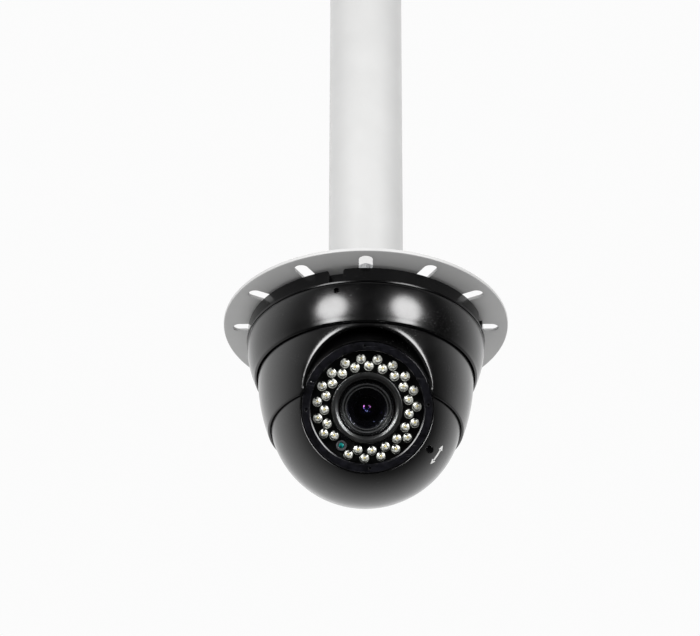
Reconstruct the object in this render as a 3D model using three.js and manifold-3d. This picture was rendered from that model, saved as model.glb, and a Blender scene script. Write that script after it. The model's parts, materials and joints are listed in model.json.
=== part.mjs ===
// Dome camera hung from a ceiling by a pendant tube.
//
// Millimetres, +Z up. The origin is the centre of the ceiling plate's top face. The camera looks towards -Y
// and down, so -Y is called the front. Bearings round the tube are degrees from the front towards +X.
// Heights on the camera are counted from the mounting flange's underside, and are negative below it.
// The ball's pieces are drawn in the ball's own frame: the origin at its centre, +Z out along the optical
// axis, and +X right and +Y up as seen from the front. Angles there are degrees from +X towards +Y.

import * as THREE from 'three';
import { mergeVertices } from 'three/addons/utils/BufferGeometryUtils.js';
import Module from 'manifold-3d';

const wasm = await Module();
wasm.setup();

// ---------------------------------------------------------------- driving dimensions

const GAP = 0.3; // between pieces that touch
const PAST = 1; // how far a cutting tool runs past the faces it cuts
const WIDE_SEGMENTS = 28; // sides of the large rings
const BALL_SEGMENTS = 24; // sides of the ball's shells
const MID_SEGMENTS = 16; // sides of the lens and the boards
const SMALL_SEGMENTS = 8; // sides of screws, posts and holes

// ceiling bracket
const DROP = 280; // ceiling face to the flange's underside
const CEILING_PLATE = {
  radius: 55,
  thickness: 5,
  holes: 4,
  holeCircle: 42,
  holeRadius: 3.3,
  sinkRadius: 5.6,
};
const CABLE_HOLE_RADIUS = 18.5;
const TUBE = { outer: 21.2, inner: 19.2 };
const SOCKET = { outer: 27, depth: 20 };
const FLANGE = { radius: 80, thickness: 2, collarOuter: 25.5, collarTop: 20 };
const SLOTS = { count: 12, width: 7.5, innerEnd: 49.5, outerEnd: 70.75, bearing: -1.25 };
const BOLT = { circle: 51.6, shank: 2.3, head: 4.4, headHeight: 4, washer: 5.5, washerHeight: 1.2, tip: -12 };
const BOLT_COUNT = 4;
const GRUB = { count: 3, radius: 2.1, recess: 0.4, flangeBearing: 60 };
const GASKET = { inner: 54.6, outer: 57.4 };

// camera base and cover ring
const BASE = { radius: 66.2, top: -2, floor: -4.5, bottom: -11.4, opening: 34, inside: 60.2 };
const BASE_LIP = { radius: 66.9, height: 0.7, blend: 0.4 };
const SPIGOT = { radius: 63.3, bottom: -19.3 };
const BOSS = { radius: 4.5, bottom: -13.5 };
const NOTCH = { count: 4, width: 8, innerFace: 61.6, bottom: -10.4, bearing: -15.5 };
const SEAL_GROOVE = { radius: 62.2, top: -12.1, bottom: -13.9 };
const COVER = {
  top: -11.7,
  bore: 63.7,
  rim: 61.1,
  rimHeight: -34.1,
  lipBore: 60.7,
  ledge: -25.6,
  pocket: 62.9,
};
const COVER_ARC = { radius: 56, crown: 66.7, centreHeight: -11 };
const COVER_FLANK = [-12.3, -16.5, -20.5, -24.5, -28.5, -32]; // heights of its outline's points
const COVER_SCREW = { count: 3, radius: 1.35, height: -15.8, bearing: -15.25, tip: 61.3, head: 65.5 };

// pan shell
const PAN_FLANGE = { radius: 62.3, top: -21.6, bottom: -24 };
const PAN_NECK_RADIUS = 60.2;
const PAN_ARC = { radius: 107, centreRadius: -46.8, centreHeight: -32 };
const PAN_FLANK = [-33, -40, -46, -52, -58, -63, -65.5]; // heights of its outline's points
const PAN_RIM = { height: -67.8, radius: 53.3 };
const PAN_BORE = { radius: 58.2, bottom: -34, throat: 57.2, throatHeight: -42 };
const SEAT = { lowGap: 0.4, highGap: 0.55, step: -5.4, chamfer: 0.4 }; // round the ball and the yoke
const ARCH = { radius: 35.2, pitch: 16, near: 20, far: 100 };

// ball
const BALL = { height: -54.5, radius: 54, wall: 2.2, pitch: 27 };
const SPLIT = -9; // the front shell ends here
const BALL_SEAL = { inner: 51.5, outer: 52.6, depth: 1.1 };
const REAR = { radius: 53.8, back: -38, wall: 2, bossEnd: -34 };
const OPENING = { radius: 36, shelfBore: 31.5, shelfTop: 34.3, shelfThickness: 2, lip: 37, lipTop: 39.9 };
const JOURNAL = { outer: 9, inner: 6, end: -46 };
const BALL_SCREW = {
  circle: 47.5,
  angles: [87, 207, 327],
  head: 3,
  headHeight: 3,
  shank: 1.5,
  seat: -15,
  tip: -1.6,
};
const BALL_BOSS = { radius: 4.5, top: 0.5, holeTop: -1.2 };
const TILT_PIN = { radius: 2.2, inner: 54.3, outer: 56.8 };
const YOKE = { inner: 54.35, outer: 55.2, front: -39.2, back: -41.5, halfWidth: 4.4, ear: 4.6, hub: 14 };
const ROLL_NUT = { outer: 13, thickness: 2.5 };
const GROMMET = { bore: 2.6, top: -39 };

// window, lamps and lens
const BEZEL = { outer: 35.6, inner: 31, top: 40.3, bottom: 37.9 };
const BEZEL_PIN_HOLES = { count: 4, circle: 33.2, radius: 0.8, depth: 1.2, turn: 3 };
const WINDOW = { radius: 35.6, top: 37.6, bottom: 35.6, gasketBore: 31.9 };
const LED = { radius: 2.5, body: 32.4, top: 34.9, perTurn: 19 };
const LED_CIRCLES = [
  { circle: 27.35, start: 97.3, missing: 12 },
  { circle: 23.28, start: 87.9, missing: 11 },
];
const LED_CARRIER = { inner: 20.2, outer: 30.2, thickness: 0.6 };
const PHOTOCELL = { circle: 24.7, angle: 236.2, radius: 2.9, top: 31 };
const LED_BOARD = { outer: 33.2, inner: 19.8, top: 27, bottom: 25.4 };
const SHROUD = { outer: 19.4, mouth: 17.4, bore: 15.6, top: 35.2, throat: 30, bottom: 22 };
const BARREL = { radius: 15.2, top: 31, rear: -2, spigot: 11.5, end: -8, glassSeat: 27, chamfer: 0.6 };
const BARREL_MOUTH = { outer: 12.9, inner: 12.5, depth: 1.3 };
const BARREL_STEP = { outer: 11.4, inner: 11.1, depth: 1.8 };
const FRONT_GLASS = { radius: 10.8, edgeTop: 28.6, shoulder: 29.3, shoulderRadius: 5.9, crown: 29.6 };

// adjusters: each screw's pinion drives a toothed ring on the lens
const ADJUSTER = { circle: 41, hole: 2.2, shaft: 1.6, head: 1.9, headHeight: 1.7, top: 32.6 };
const ADJUSTER_SLOT = { width: 0.6, depth: 0.8 };
const GEAR_TEETH = 40;
const PINION_TEETH = 8;
const GEAR_MODULE = (2 * ADJUSTER.circle) / (GEAR_TEETH + PINION_TEETH);
const TOOTH = { addendum: 0.75, dedendum: 1, halfTip: 0.5, halfRoot: 1.35 }; // in modules, then in mm
const FOCUS = { angle: -33, bottom: 8, top: 12, shaftEnd: 6 };
const ZOOM = { angle: 147, bottom: -2, top: 2, shaftEnd: -4.5 };

// frame inside the ball
const CHASSIS = { radius: 44, top: 18, bottom: 16, bore: 16 };
const CHASSIS_SCREW = {
  circle: 41,
  angles: [12, 102, 192, 282],
  head: 2.6,
  headHeight: 1.8,
  shank: 1.2,
  tip: 25,
};
const CHASSIS_POST = { radius: 3.5, top: 30.2, holeTop: 26 };
const STANDOFF = { circle: 24, angles: [30, 150, 270], radius: 2.5 };
const REAR_PLATE = { radius: 41.3, top: -6, bottom: -8, bore: 12 };
const POST = { circle: 38.5, angles: [35, 125, 215, 305], radius: 2.5 };
const LENS_MOUNT = { side: 32, depth: 3.7, bore: 8 };
const SENSOR_BOARD = { side: 36, thickness: 1.6 };
const IMAGE_SENSOR = { width: 12, height: 10, thickness: 1.2 };
const MAIN_BOARD = { side: 52, top: -20.4, thickness: 1.6, postSpacing: 30, postRadius: 2 };

// ---------------------------------------------------------------- materials

const finish = (color, roughness, metalness = 0, extra = {}) =>
  new THREE.MeshStandardMaterial({ color, roughness, metalness, ...extra });

const palePaint = finish(0xdcdddd, 0.45);
const zincSteel = finish(0xb4b6b8, 0.35, 0.9);
const blackScrew = finish(0x232425, 0.4, 0.6);
const mattBlack = finish(0x161617, 0.55);
const satinBlack = finish(0x141415, 0.35);
const bezelBlack = finish(0x1b1b1f, 0.45, 0.2);
const rubber = finish(0x101010, 0.8);
const acetal = finish(0xe6e4dc, 0.5);
const darkPlastic = finish(0x1e1f20, 0.5);
const boardBlack = finish(0x0b0c0c, 0.6);
const boardGreen = finish(0x1d4a33, 0.5);
const clearEpoxy = finish(0xe9e6dd, 0.15);
const sensorGlass = finish(0x16606a, 0.2);
const windowGlass = finish(0xf4f7f7, 0.05, 0, { transparent: true, opacity: 0.15 });
const lensGlass = finish(0x101018, 0.03);

// ---------------------------------------------------------------- solid helpers

const radians = THREE.MathUtils.degToRad;

// A closed geometry as a solid that can be joined and cut.
function solidOf(geometry) {
  const bare = geometry.index ? geometry.toNonIndexed() : geometry.clone();
  bare.deleteAttribute('normal');
  bare.deleteAttribute('uv');
  const merged = mergeVertices(bare, 1e-4);
  const corners = merged.index.array;
  const triangles = [];
  for (let i = 0; i < corners.length; i += 3) {
    const [a, b, c] = corners.slice(i, i + 3);
    if (a !== b && b !== c && c !== a) triangles.push(a, b, c);
  }
  const vertProperties = merged.attributes.position.array;
  const build = (triVerts) => new wasm.Manifold(new wasm.Mesh({ numProp: 3, vertProperties, triVerts }));
  const solid = build(new Uint32Array(triangles));
  return solid.volume() < 0 ? build(new Uint32Array(triangles.reverse())) : solid;
}

function geometryOf(solid) {
  const mesh = solid.getMesh();
  const geometry = new THREE.BufferGeometry();
  geometry.setAttribute('position', new THREE.BufferAttribute(mesh.vertProperties, 3));
  geometry.setIndex(new THREE.BufferAttribute(mesh.triVerts, 1));
  geometry.computeVertexNormals();
  return geometry;
}

const join = (first, ...others) =>
  geometryOf(others.reduce((sum, other) => sum.add(solidOf(other)), solidOf(first)));
const cut = (first, ...tools) =>
  geometryOf(tools.reduce((rest, tool) => rest.subtract(solidOf(tool)), solidOf(first)));
const common = (first, second) => geometryOf(solidOf(first).intersect(solidOf(second)));

// A solid of revolution about Z from [radius, height] points. A profile off the axis is closed on itself.
function turned(profile, segments) {
  const points = profile.map(([radius, height]) => new THREE.Vector2(radius, height));
  const meetsAxis = points[0].x === 0 && points.at(-1).x === 0;
  if (!meetsAxis) points.push(points[0].clone());
  const geometry = new THREE.LatheGeometry(points, segments).rotateX(Math.PI / 2);
  return geometryOf(solidOf(geometry));
}

const rod = (radius, low, high, segments = SMALL_SEGMENTS) =>
  turned([[0, low], [radius, low], [radius, high], [0, high]], segments);
const ring = (inner, outer, low, high, segments) =>
  turned([[inner, low], [outer, low], [outer, high], [inner, high]], segments);

// Points of a profile on a sphere of this radius round [0, 0], from one height to another.
function sphereArc(radius, from, to, steps) {
  const start = Math.asin(from / radius);
  const turn = Math.asin(to / radius) - start;
  return Array.from({ length: steps + 1 }, (_, i) => {
    const angle = start + (turn * i) / steps;
    return [radius * Math.cos(angle), radius * Math.sin(angle)];
  });
}

const ball = (radius, segments) =>
  turned([[0, -radius], ...sphereArc(radius, -radius, radius, 10).slice(1, -1), [0, radius]], segments);

const box = (x, y, z, low) => new THREE.BoxGeometry(x, y, z).translate(0, 0, low + z / 2);

// A copy moved out along +X by a radius and then turned to an angle about Z.
const placed = (geometry, radius, angle) =>
  geometry.clone().translate(radius, 0, 0).rotateZ(radians(angle));

// A rod lying level, from one radius to another on a bearing, at a height.
const spoke = (radius, inner, outer, bearing, height, segments = SMALL_SEGMENTS) =>
  rod(radius, inner, outer, segments).rotateX(Math.PI / 2).rotateZ(radians(bearing)).translate(0, 0, height);

// The bearings of a number of equally spaced places.
const bearings = (count, first = 0) => Array.from({ length: count }, (_, i) => first + (360 * i) / count);

const part = new THREE.Group();
const hung = new THREE.Group(); // heights from the flange's underside
hung.position.z = -DROP;
const ballFrame = new THREE.Group();
ballFrame.position.z = BALL.height;
ballFrame.rotation.x = radians(90 + BALL.pitch);
hung.add(ballFrame);
part.add(hung);

function addPiece(group, name, geometry, material) {
  const mesh = new THREE.Mesh(geometry, material);
  mesh.name = name;
  group.add(mesh);
}

// ---------------------------------------------------------------- ceiling bracket

function ceilingPlate() {
  const { radius, thickness, holeCircle, holeRadius, sinkRadius } = CEILING_PLATE;
  const edge = 0.8;
  const socketEnd = -thickness - SOCKET.depth;
  const plate = turned(
    [
      [CABLE_HOLE_RADIUS, 0],
      [radius - edge, 0],
      [radius, -edge],
      [radius, edge - thickness],
      [radius - edge, -thickness],
      [SOCKET.outer, -thickness],
      [SOCKET.outer, socketEnd + edge],
      [SOCKET.outer - edge, socketEnd],
      [TUBE.outer + GAP, socketEnd],
      [TUBE.outer + GAP, -thickness],
      [CABLE_HOLE_RADIUS, -thickness],
    ],
    WIDE_SEGMENTS,
  );
  const screwHole = turned(
    [
      [0, PAST],
      [holeRadius, PAST],
      [holeRadius, sinkRadius - holeRadius - thickness],
      [sinkRadius, -thickness],
      [sinkRadius, -thickness - PAST],
      [0, -thickness - PAST],
    ],
    SMALL_SEGMENTS,
  );
  const places = bearings(CEILING_PLATE.holes, 180 / CEILING_PLATE.holes);
  const holes = places.map((angle) => placed(screwHole, holeCircle, angle));
  const grubHoles = bearings(GRUB.count).map((bearing) =>
    spoke(GRUB.radius + GAP, TUBE.outer, SOCKET.outer + PAST, bearing, -thickness - SOCKET.depth / 2),
  );
  return cut(plate, ...holes, ...grubHoles);
}

function flangeSlot() {
  const { width, innerEnd, outerEnd } = SLOTS;
  const shape = new THREE.Shape();
  shape.absarc(0, -outerEnd, width / 2, Math.PI, 2 * Math.PI, false);
  shape.absarc(0, -innerEnd, width / 2, 0, Math.PI, false);
  const depth = FLANGE.thickness + 2 * PAST;
  return new THREE.ExtrudeGeometry(
    shape,
    { depth, bevelEnabled: false, curveSegments: 3 },
  ).translate(0, 0, -PAST);
}

function mountFlange() {
  const { radius, thickness, collarOuter, collarTop } = FLANGE;
  const edge = 0.6;
  const disc = turned(
    [
      [CABLE_HOLE_RADIUS, 0],
      [radius - edge, 0],
      [radius, edge],
      [radius, thickness - edge],
      [radius - edge, thickness],
      [collarOuter, thickness],
      [collarOuter, collarTop - edge],
      [collarOuter - edge, collarTop],
      [TUBE.outer + GAP, collarTop],
      [TUBE.outer + GAP, thickness],
      [CABLE_HOLE_RADIUS, thickness],
    ],
    WIDE_SEGMENTS,
  );
  const slots = bearings(SLOTS.count, SLOTS.bearing).map((bearing) => flangeSlot().rotateZ(radians(bearing)));
  const grubHoles = bearings(GRUB.count, GRUB.flangeBearing).map((bearing) =>
    spoke(GRUB.radius + GAP, TUBE.outer, collarOuter + PAST, bearing, (thickness + collarTop) / 2),
  );
  return cut(disc, ...slots, ...grubHoles);
}

// A hexagon-headed bolt with its washer face, hanging from the flange's top into the camera base.
function mountBolt() {
  const seat = FLANGE.thickness + GAP;
  const washerTop = seat + BOLT.washerHeight;
  return join(
    rod(BOLT.washer, seat, washerTop, 12),
    rod(BOLT.head, washerTop, washerTop + BOLT.headHeight, 6),
    rod(BOLT.shank, BOLT.tip, seat + BOLT.washerHeight / 2),
  );
}

addPiece(part, 'ceiling_plate', ceilingPlate(), palePaint);
addPiece(
  part,
  'pendant_tube',
  ring(TUBE.inner, TUBE.outer, FLANGE.thickness + GAP - DROP, -CEILING_PLATE.thickness - GAP, WIDE_SEGMENTS),
  palePaint,
);
bearings(GRUB.count).forEach((bearing, i) => {
  const height = -CEILING_PLATE.thickness - SOCKET.depth / 2;
  const screw = spoke(GRUB.radius, TUBE.outer + GAP, SOCKET.outer - GRUB.recess, bearing, height);
  addPiece(part, `tube_grub_${i + 1}`, screw, zincSteel);
});
addPiece(hung, 'mount_flange', mountFlange(), palePaint);
bearings(GRUB.count, GRUB.flangeBearing).forEach((bearing, i) => {
  const height = (FLANGE.thickness + FLANGE.collarTop) / 2;
  const screw = spoke(GRUB.radius, TUBE.outer + GAP, FLANGE.collarOuter - GRUB.recess, bearing, height);
  addPiece(hung, `flange_grub_${i + 1}`, screw, zincSteel);
});
addPiece(hung, 'mount_gasket', ring(GASKET.inner, GASKET.outer, BASE.top + GAP, -GAP, WIDE_SEGMENTS), rubber);
bearings(BOLT_COUNT, SLOTS.bearing).forEach((bearing, i) => {
  addPiece(hung, `mount_bolt_${i + 1}`, placed(mountBolt(), BOLT.circle, bearing - 90), zincSteel);
});

// ---------------------------------------------------------------- camera base and cover ring

function cameraBase() {
  const { radius, top, floor, bottom, opening, inside } = BASE;
  const lip = BASE_LIP.radius;
  const lipTop = bottom + BASE_LIP.height;
  const edge = 0.5;
  const body = turned(
    [
      [opening, top],
      [radius - edge, top],
      [radius, top - edge],
      [radius, lipTop + BASE_LIP.blend],
      [lip, lipTop],
      [lip, bottom],
      [SPIGOT.radius, bottom],
      [SPIGOT.radius, SPIGOT.bottom],
      [inside, SPIGOT.bottom],
      [inside, floor],
      [opening, floor],
    ],
    WIDE_SEGMENTS,
  );
  const places = bearings(BOLT_COUNT, SLOTS.bearing - 90);
  const bosses = places.map((angle) => placed(
    rod(BOSS.radius, BOSS.bottom, (floor + top) / 2),
    BOLT.circle,
    angle,
  ));
  const holes = places.map((angle) =>
    placed(rod(BOLT.shank + GAP, BOLT.tip - GAP, PAST), BOLT.circle, angle),
  );
  const notchDepth = lip + PAST - NOTCH.innerFace;
  const notches = bearings(NOTCH.count, NOTCH.bearing).map((bearing) =>
    box(NOTCH.width, notchDepth, -NOTCH.bottom, NOTCH.bottom)
      .translate(0, -NOTCH.innerFace - notchDepth / 2, 0)
      .rotateZ(radians(bearing)),
  );
  const groove = ring(
    SEAL_GROOVE.radius,
    SPIGOT.radius + PAST,
    SEAL_GROOVE.bottom,
    SEAL_GROOVE.top,
    WIDE_SEGMENTS,
  );
  const screwHoles = bearings(COVER_SCREW.count, COVER_SCREW.bearing).map((bearing) =>
    spoke(COVER_SCREW.radius + GAP, COVER_SCREW.tip - GAP, radius, bearing, COVER_SCREW.height),
  );
  return cut(join(body, ...bosses), ...holes, ...notches, groove, ...screwHoles);
}

// The cover's outer radius at a height.
function coverRadius(height) {
  const { radius, crown, centreHeight } = COVER_ARC;
  return crown - radius + Math.sqrt(radius ** 2 - (height - centreHeight) ** 2);
}

function coverRing() {
  const { top, bore, rim, rimHeight, lipBore, ledge, pocket } = COVER;
  const flank = COVER_FLANK.map((height) => [coverRadius(height), height]);
  const edge = 0.5;
  const pocketSlope = 0.6;
  const body = turned(
    [
      [bore, top],
      [coverRadius(top) - edge, top],
      ...flank,
      [rim + 2 * edge, rimHeight + edge],
      [rim, rimHeight],
      [lipBore, rimHeight + edge],
      [lipBore, ledge],
      [pocket, ledge],
      [pocket, SPIGOT.bottom - pocketSlope],
      [bore, SPIGOT.bottom],
    ],
    WIDE_SEGMENTS,
  );
  const screwHoles = bearings(COVER_SCREW.count, COVER_SCREW.bearing).map((bearing) =>
    spoke(COVER_SCREW.radius + GAP, bore - PAST, BASE.radius + PAST, bearing, COVER_SCREW.height),
  );
  return cut(body, ...screwHoles);
}

addPiece(hung, 'camera_base', cameraBase(), mattBlack);
addPiece(
  hung,
  'base_seal',
  ring(
    SEAL_GROOVE.radius + GAP,
    SPIGOT.radius,
    SEAL_GROOVE.bottom + GAP,
    SEAL_GROOVE.top - GAP,
    WIDE_SEGMENTS,
  ),
  rubber,
);
addPiece(hung, 'cover_ring', coverRing(), satinBlack);
bearings(COVER_SCREW.count, COVER_SCREW.bearing).forEach((bearing, i) => {
  const screw = spoke(COVER_SCREW.radius, COVER_SCREW.tip, COVER_SCREW.head, bearing, COVER_SCREW.height);
  addPiece(hung, `cover_screw_${i + 1}`, screw, blackScrew);
});
addPiece(
  hung,
  'pan_friction_ring',
  ring(COVER.lipBore + GAP, COVER.pocket - GAP, COVER.ledge + GAP, PAN_FLANGE.bottom - GAP, WIDE_SEGMENTS),
  rubber,
);
addPiece(
  hung,
  'pan_slip_ring',
  ring(PAN_NECK_RADIUS + GAP, COVER.pocket - GAP, PAN_FLANGE.top + GAP, SPIGOT.bottom - GAP, WIDE_SEGMENTS),
  acetal,
);

// ---------------------------------------------------------------- pan shell

// The pan shell's outer radius at a height below the cover ring.
const panRadius = (height) =>
  PAN_ARC.centreRadius + Math.sqrt(PAN_ARC.radius ** 2 - (height - PAN_ARC.centreHeight) ** 2);

// A long rod from the ball's centre towards the front, dipping by a pitch in degrees.
const towardsFront = (radius, near, far, pitch) =>
  rod(radius, near, far, WIDE_SEGMENTS).rotateX(radians(90 + pitch)).translate(0, 0, BALL.height);

function panShell() {
  const outside = PAN_FLANK.map((height) => [panRadius(height), height]);
  const edge = 0.5;
  const seat = (radius, from, to, steps) =>
    sphereArc(radius, from, to, steps).map(([r, height]) => [r, height + BALL.height]);
  const body = turned(
    [
      [PAN_BORE.radius, PAN_FLANGE.top],
      [PAN_FLANGE.radius, PAN_FLANGE.top],
      [PAN_FLANGE.radius, PAN_FLANGE.bottom],
      [PAN_NECK_RADIUS, PAN_FLANGE.bottom],
      ...outside,
      [PAN_RIM.radius + edge, PAN_RIM.height + edge],
      [PAN_RIM.radius, PAN_RIM.height],
      ...seat(BALL.radius + SEAT.lowGap, PAN_RIM.height - BALL.height + edge, SEAT.step, 3),
      ...seat(YOKE.outer + SEAT.highGap, SEAT.step + SEAT.chamfer, 0, 2),
      [PAN_BORE.throat, PAN_BORE.throatHeight],
      [PAN_BORE.radius, PAN_BORE.bottom],
    ],
    WIDE_SEGMENTS,
  );
  const pinHoles = [90, -90].map((bearing) =>
    spoke(TILT_PIN.radius + GAP, BALL.radius, TILT_PIN.outer + GAP, bearing, BALL.height),
  );
  return cut(body, towardsFront(ARCH.radius, ARCH.near, ARCH.far, ARCH.pitch), ...pinHoles);
}

addPiece(hung, 'pan_shell', panShell(), satinBlack);
[['tilt_pin_left', -90], ['tilt_pin_right', 90]].forEach(([name, bearing]) => {
  const pin = spoke(TILT_PIN.radius, TILT_PIN.inner, TILT_PIN.outer, bearing, BALL.height);
  addPiece(hung, name, pin, zincSteel);
});

// ---------------------------------------------------------------- tilt yoke, behind the ball

function tiltYoke() {
  const { inner, outer, front, back, halfWidth, ear, hub } = YOKE;
  const outerEnd = Math.asin(-back / outer);
  const innerEnd = Math.asin(-front / inner);
  const outline = new THREE.Shape();
  outline.absarc(0, 0, outer, 0, -outerEnd, true);
  outline.absarc(0, 0, outer, outerEnd - Math.PI, -Math.PI, true);
  outline.absarc(0, 0, inner, -Math.PI, innerEnd - Math.PI, false);
  outline.absarc(0, 0, inner, -innerEnd, 0, false);
  const strap = new THREE.ExtrudeGeometry(
    outline,
    { depth: 2 * halfWidth, bevelEnabled: false, curveSegments: 8 },
  )
    .translate(0, 0, -halfWidth)
    .rotateX(Math.PI / 2);
  const ears = [90, -90].map((bearing) => spoke(ear, inner, outer, bearing, 0, 12));
  const pinHoles = [90, -90].map((bearing) => spoke(
    TILT_PIN.radius + GAP,
    inner - PAST,
    outer + PAST,
    bearing,
    0,
  ));
  const plate = join(strap, ...ears, rod(hub, back, front, MID_SEGMENTS));
  return cut(plate, rod(JOURNAL.outer + GAP, back - PAST, front + PAST, MID_SEGMENTS), ...pinHoles);
}

addPiece(ballFrame, 'tilt_yoke', tiltYoke(), zincSteel);
addPiece(
  ballFrame,
  'roll_washer',
  ring(JOURNAL.outer + GAP, ROLL_NUT.outer, YOKE.front + GAP, REAR.back - GAP, MID_SEGMENTS),
  acetal,
);

// ---------------------------------------------------------------- ball shells

const adjusterHoles = (radius, low, high) =>
  [FOCUS.angle, ZOOM.angle].map((angle) => placed(rod(radius, low, high), ADJUSTER.circle, angle));

function ballFront() {
  const { radius, wall } = BALL;
  const inside = radius - wall;
  const shelfBottom = OPENING.shelfTop - OPENING.shelfThickness;
  const lipHeight = Math.sqrt(radius ** 2 - OPENING.lip ** 2);
  const shell = turned(
    [
      ...sphereArc(radius, SPLIT, lipHeight, 7),
      [OPENING.radius, OPENING.lipTop],
      [OPENING.radius, OPENING.shelfTop],
      [OPENING.shelfBore, OPENING.shelfTop],
      [OPENING.shelfBore, shelfBottom],
      ...sphereArc(inside, shelfBottom, SPLIT, 4),
    ],
    BALL_SEGMENTS,
  );
  const chassisPosts = CHASSIS_SCREW.angles.map((angle) =>
    placed(rod(CHASSIS_POST.radius, CHASSIS.top + GAP, CHASSIS_POST.top), CHASSIS_SCREW.circle, angle),
  );
  const chassisHoles = CHASSIS_SCREW.angles.map((angle) =>
    placed(rod(CHASSIS_SCREW.shank + GAP, CHASSIS.top, CHASSIS_POST.holeTop), CHASSIS_SCREW.circle, angle),
  );
  const bosses = BALL_SCREW.angles.map((angle) =>
    placed(rod(BALL_BOSS.radius, SPLIT, BALL_BOSS.top), BALL_SCREW.circle, angle),
  );
  const screwHoles = BALL_SCREW.angles.map((angle) =>
    placed(rod(BALL_SCREW.shank + GAP, SPLIT - PAST, BALL_BOSS.holeTop), BALL_SCREW.circle, angle),
  );
  const groove = ring(BALL_SEAL.inner, BALL_SEAL.outer, SPLIT - PAST, SPLIT + BALL_SEAL.depth, BALL_SEGMENTS);
  return cut(
    join(shell, ...chassisPosts, ...bosses),
    ...chassisHoles,
    ...screwHoles,
    groove,
    ...adjusterHoles(ADJUSTER.hole, CHASSIS.top, radius),
  );
}

function ballRear() {
  const { radius, back, wall } = REAR;
  const edge = SPLIT - GAP;
  const shell = turned(
    [
      ...sphereArc(radius, edge, back, 4),
      [JOURNAL.outer, back],
      [JOURNAL.outer, JOURNAL.end],
      [JOURNAL.inner, JOURNAL.end],
      [JOURNAL.inner, back + wall],
      ...sphereArc(radius - wall, back + wall, edge, 3),
    ],
    BALL_SEGMENTS,
  );
  const limits = ball(radius, BALL_SEGMENTS);
  const bosses = BALL_SCREW.angles.map((angle) =>
    common(placed(rod(BALL_BOSS.radius, REAR.bossEnd, edge), BALL_SCREW.circle, angle), limits),
  );
  const screwHoles = BALL_SCREW.angles.map((angle) =>
    placed(rod(BALL_SCREW.shank + GAP, -radius, 0), BALL_SCREW.circle, angle),
  );
  const sinks = BALL_SCREW.angles.map((angle) =>
    placed(rod(BALL_SCREW.head + GAP, -radius, BALL_SCREW.seat), BALL_SCREW.circle, angle),
  );
  return cut(join(shell, ...bosses), ...screwHoles, ...sinks);
}

const ballScrew = () =>
  join(
    rod(BALL_SCREW.head, BALL_SCREW.seat - GAP - BALL_SCREW.headHeight, BALL_SCREW.seat - GAP),
    rod(BALL_SCREW.shank, BALL_SCREW.seat - PAST, BALL_SCREW.tip),
  );

addPiece(ballFrame, 'ball_front', ballFront(), satinBlack);
addPiece(ballFrame, 'ball_rear', ballRear(), satinBlack);
addPiece(
  ballFrame,
  'ball_seal',
  ring(BALL_SEAL.inner + GAP, BALL_SEAL.outer - GAP, SPLIT, SPLIT + BALL_SEAL.depth - GAP, BALL_SEGMENTS),
  rubber,
);
BALL_SCREW.angles.forEach((angle, i) => {
  addPiece(ballFrame, `ball_screw_${i + 1}`, placed(ballScrew(), BALL_SCREW.circle, angle), blackScrew);
});
addPiece(
  ballFrame,
  'roll_nut',
  ring(
    JOURNAL.outer + GAP,
    ROLL_NUT.outer,
    YOKE.back - GAP - ROLL_NUT.thickness,
    YOKE.back - GAP,
    MID_SEGMENTS,
  ),
  zincSteel,
);
addPiece(
  ballFrame,
  'cable_grommet',
  ring(GROMMET.bore, JOURNAL.inner - GAP, JOURNAL.end + PAST, GROMMET.top, MID_SEGMENTS),
  rubber,
);

// ---------------------------------------------------------------- window, lamps and their board

function bezelRing() {
  const { outer, inner, top, bottom } = BEZEL;
  const { count, circle, radius, depth, turn } = BEZEL_PIN_HOLES;
  const edge = 0.5;
  const body = turned(
    [
      [inner, bottom],
      [outer, bottom],
      [outer, top - edge],
      [outer - edge, top],
      [inner + edge, top],
      [inner, top - edge],
    ],
    WIDE_SEGMENTS,
  );
  const pinHoles = bearings(count, turn).map((angle) => placed(
    rod(radius, top - depth, top + PAST),
    circle,
    angle,
  ));
  return cut(body, ...pinHoles);
}

// Two rings of lamps on one thin carrier. Each ring leaves out one place of the full turn for the photocell.
function ledArray() {
  const base = LED_BOARD.top + GAP;
  const carrier = ring(
    LED_CARRIER.inner,
    LED_CARRIER.outer,
    base,
    base + LED_CARRIER.thickness,
    WIDE_SEGMENTS,
  );
  const lamp = turned(
    [
      [0, base + LED_CARRIER.thickness / 2],
      [LED.radius, base + LED_CARRIER.thickness / 2],
      [LED.radius, LED.body],
      [0, LED.top],
    ],
    6,
  );
  const lamps = LED_CIRCLES.flatMap(({ circle, start, missing }) =>
    bearings(LED.perTurn)
      .map((turn) => placed(lamp, circle, start - turn))
      .filter((_, place) => place !== missing),
  );
  const photocellHole = rod(PHOTOCELL.radius + GAP, LED_BOARD.top, LED.body);
  return cut(join(carrier, ...lamps), placed(photocellHole, PHOTOCELL.circle, PHOTOCELL.angle));
}

const windowGasket = ring(
  WINDOW.gasketBore,
  WINDOW.radius,
  OPENING.shelfTop + GAP,
  WINDOW.bottom - GAP,
  WIDE_SEGMENTS,
);
const photocell = rod(PHOTOCELL.radius, LED_BOARD.top + GAP, PHOTOCELL.top);

addPiece(ballFrame, 'bezel_ring', bezelRing(), bezelBlack);
addPiece(
  ballFrame,
  'front_window',
  rod(WINDOW.radius, WINDOW.bottom, WINDOW.top, WIDE_SEGMENTS),
  windowGlass,
);
addPiece(ballFrame, 'window_gasket', windowGasket, rubber);
addPiece(
  ballFrame,
  'led_board',
  ring(LED_BOARD.inner, LED_BOARD.outer, LED_BOARD.bottom, LED_BOARD.top, MID_SEGMENTS),
  boardBlack,
);
addPiece(ballFrame, 'led_array', ledArray(), clearEpoxy);
addPiece(ballFrame, 'photocell', placed(photocell, PHOTOCELL.circle, PHOTOCELL.angle), sensorGlass);

// ---------------------------------------------------------------- lens

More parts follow.
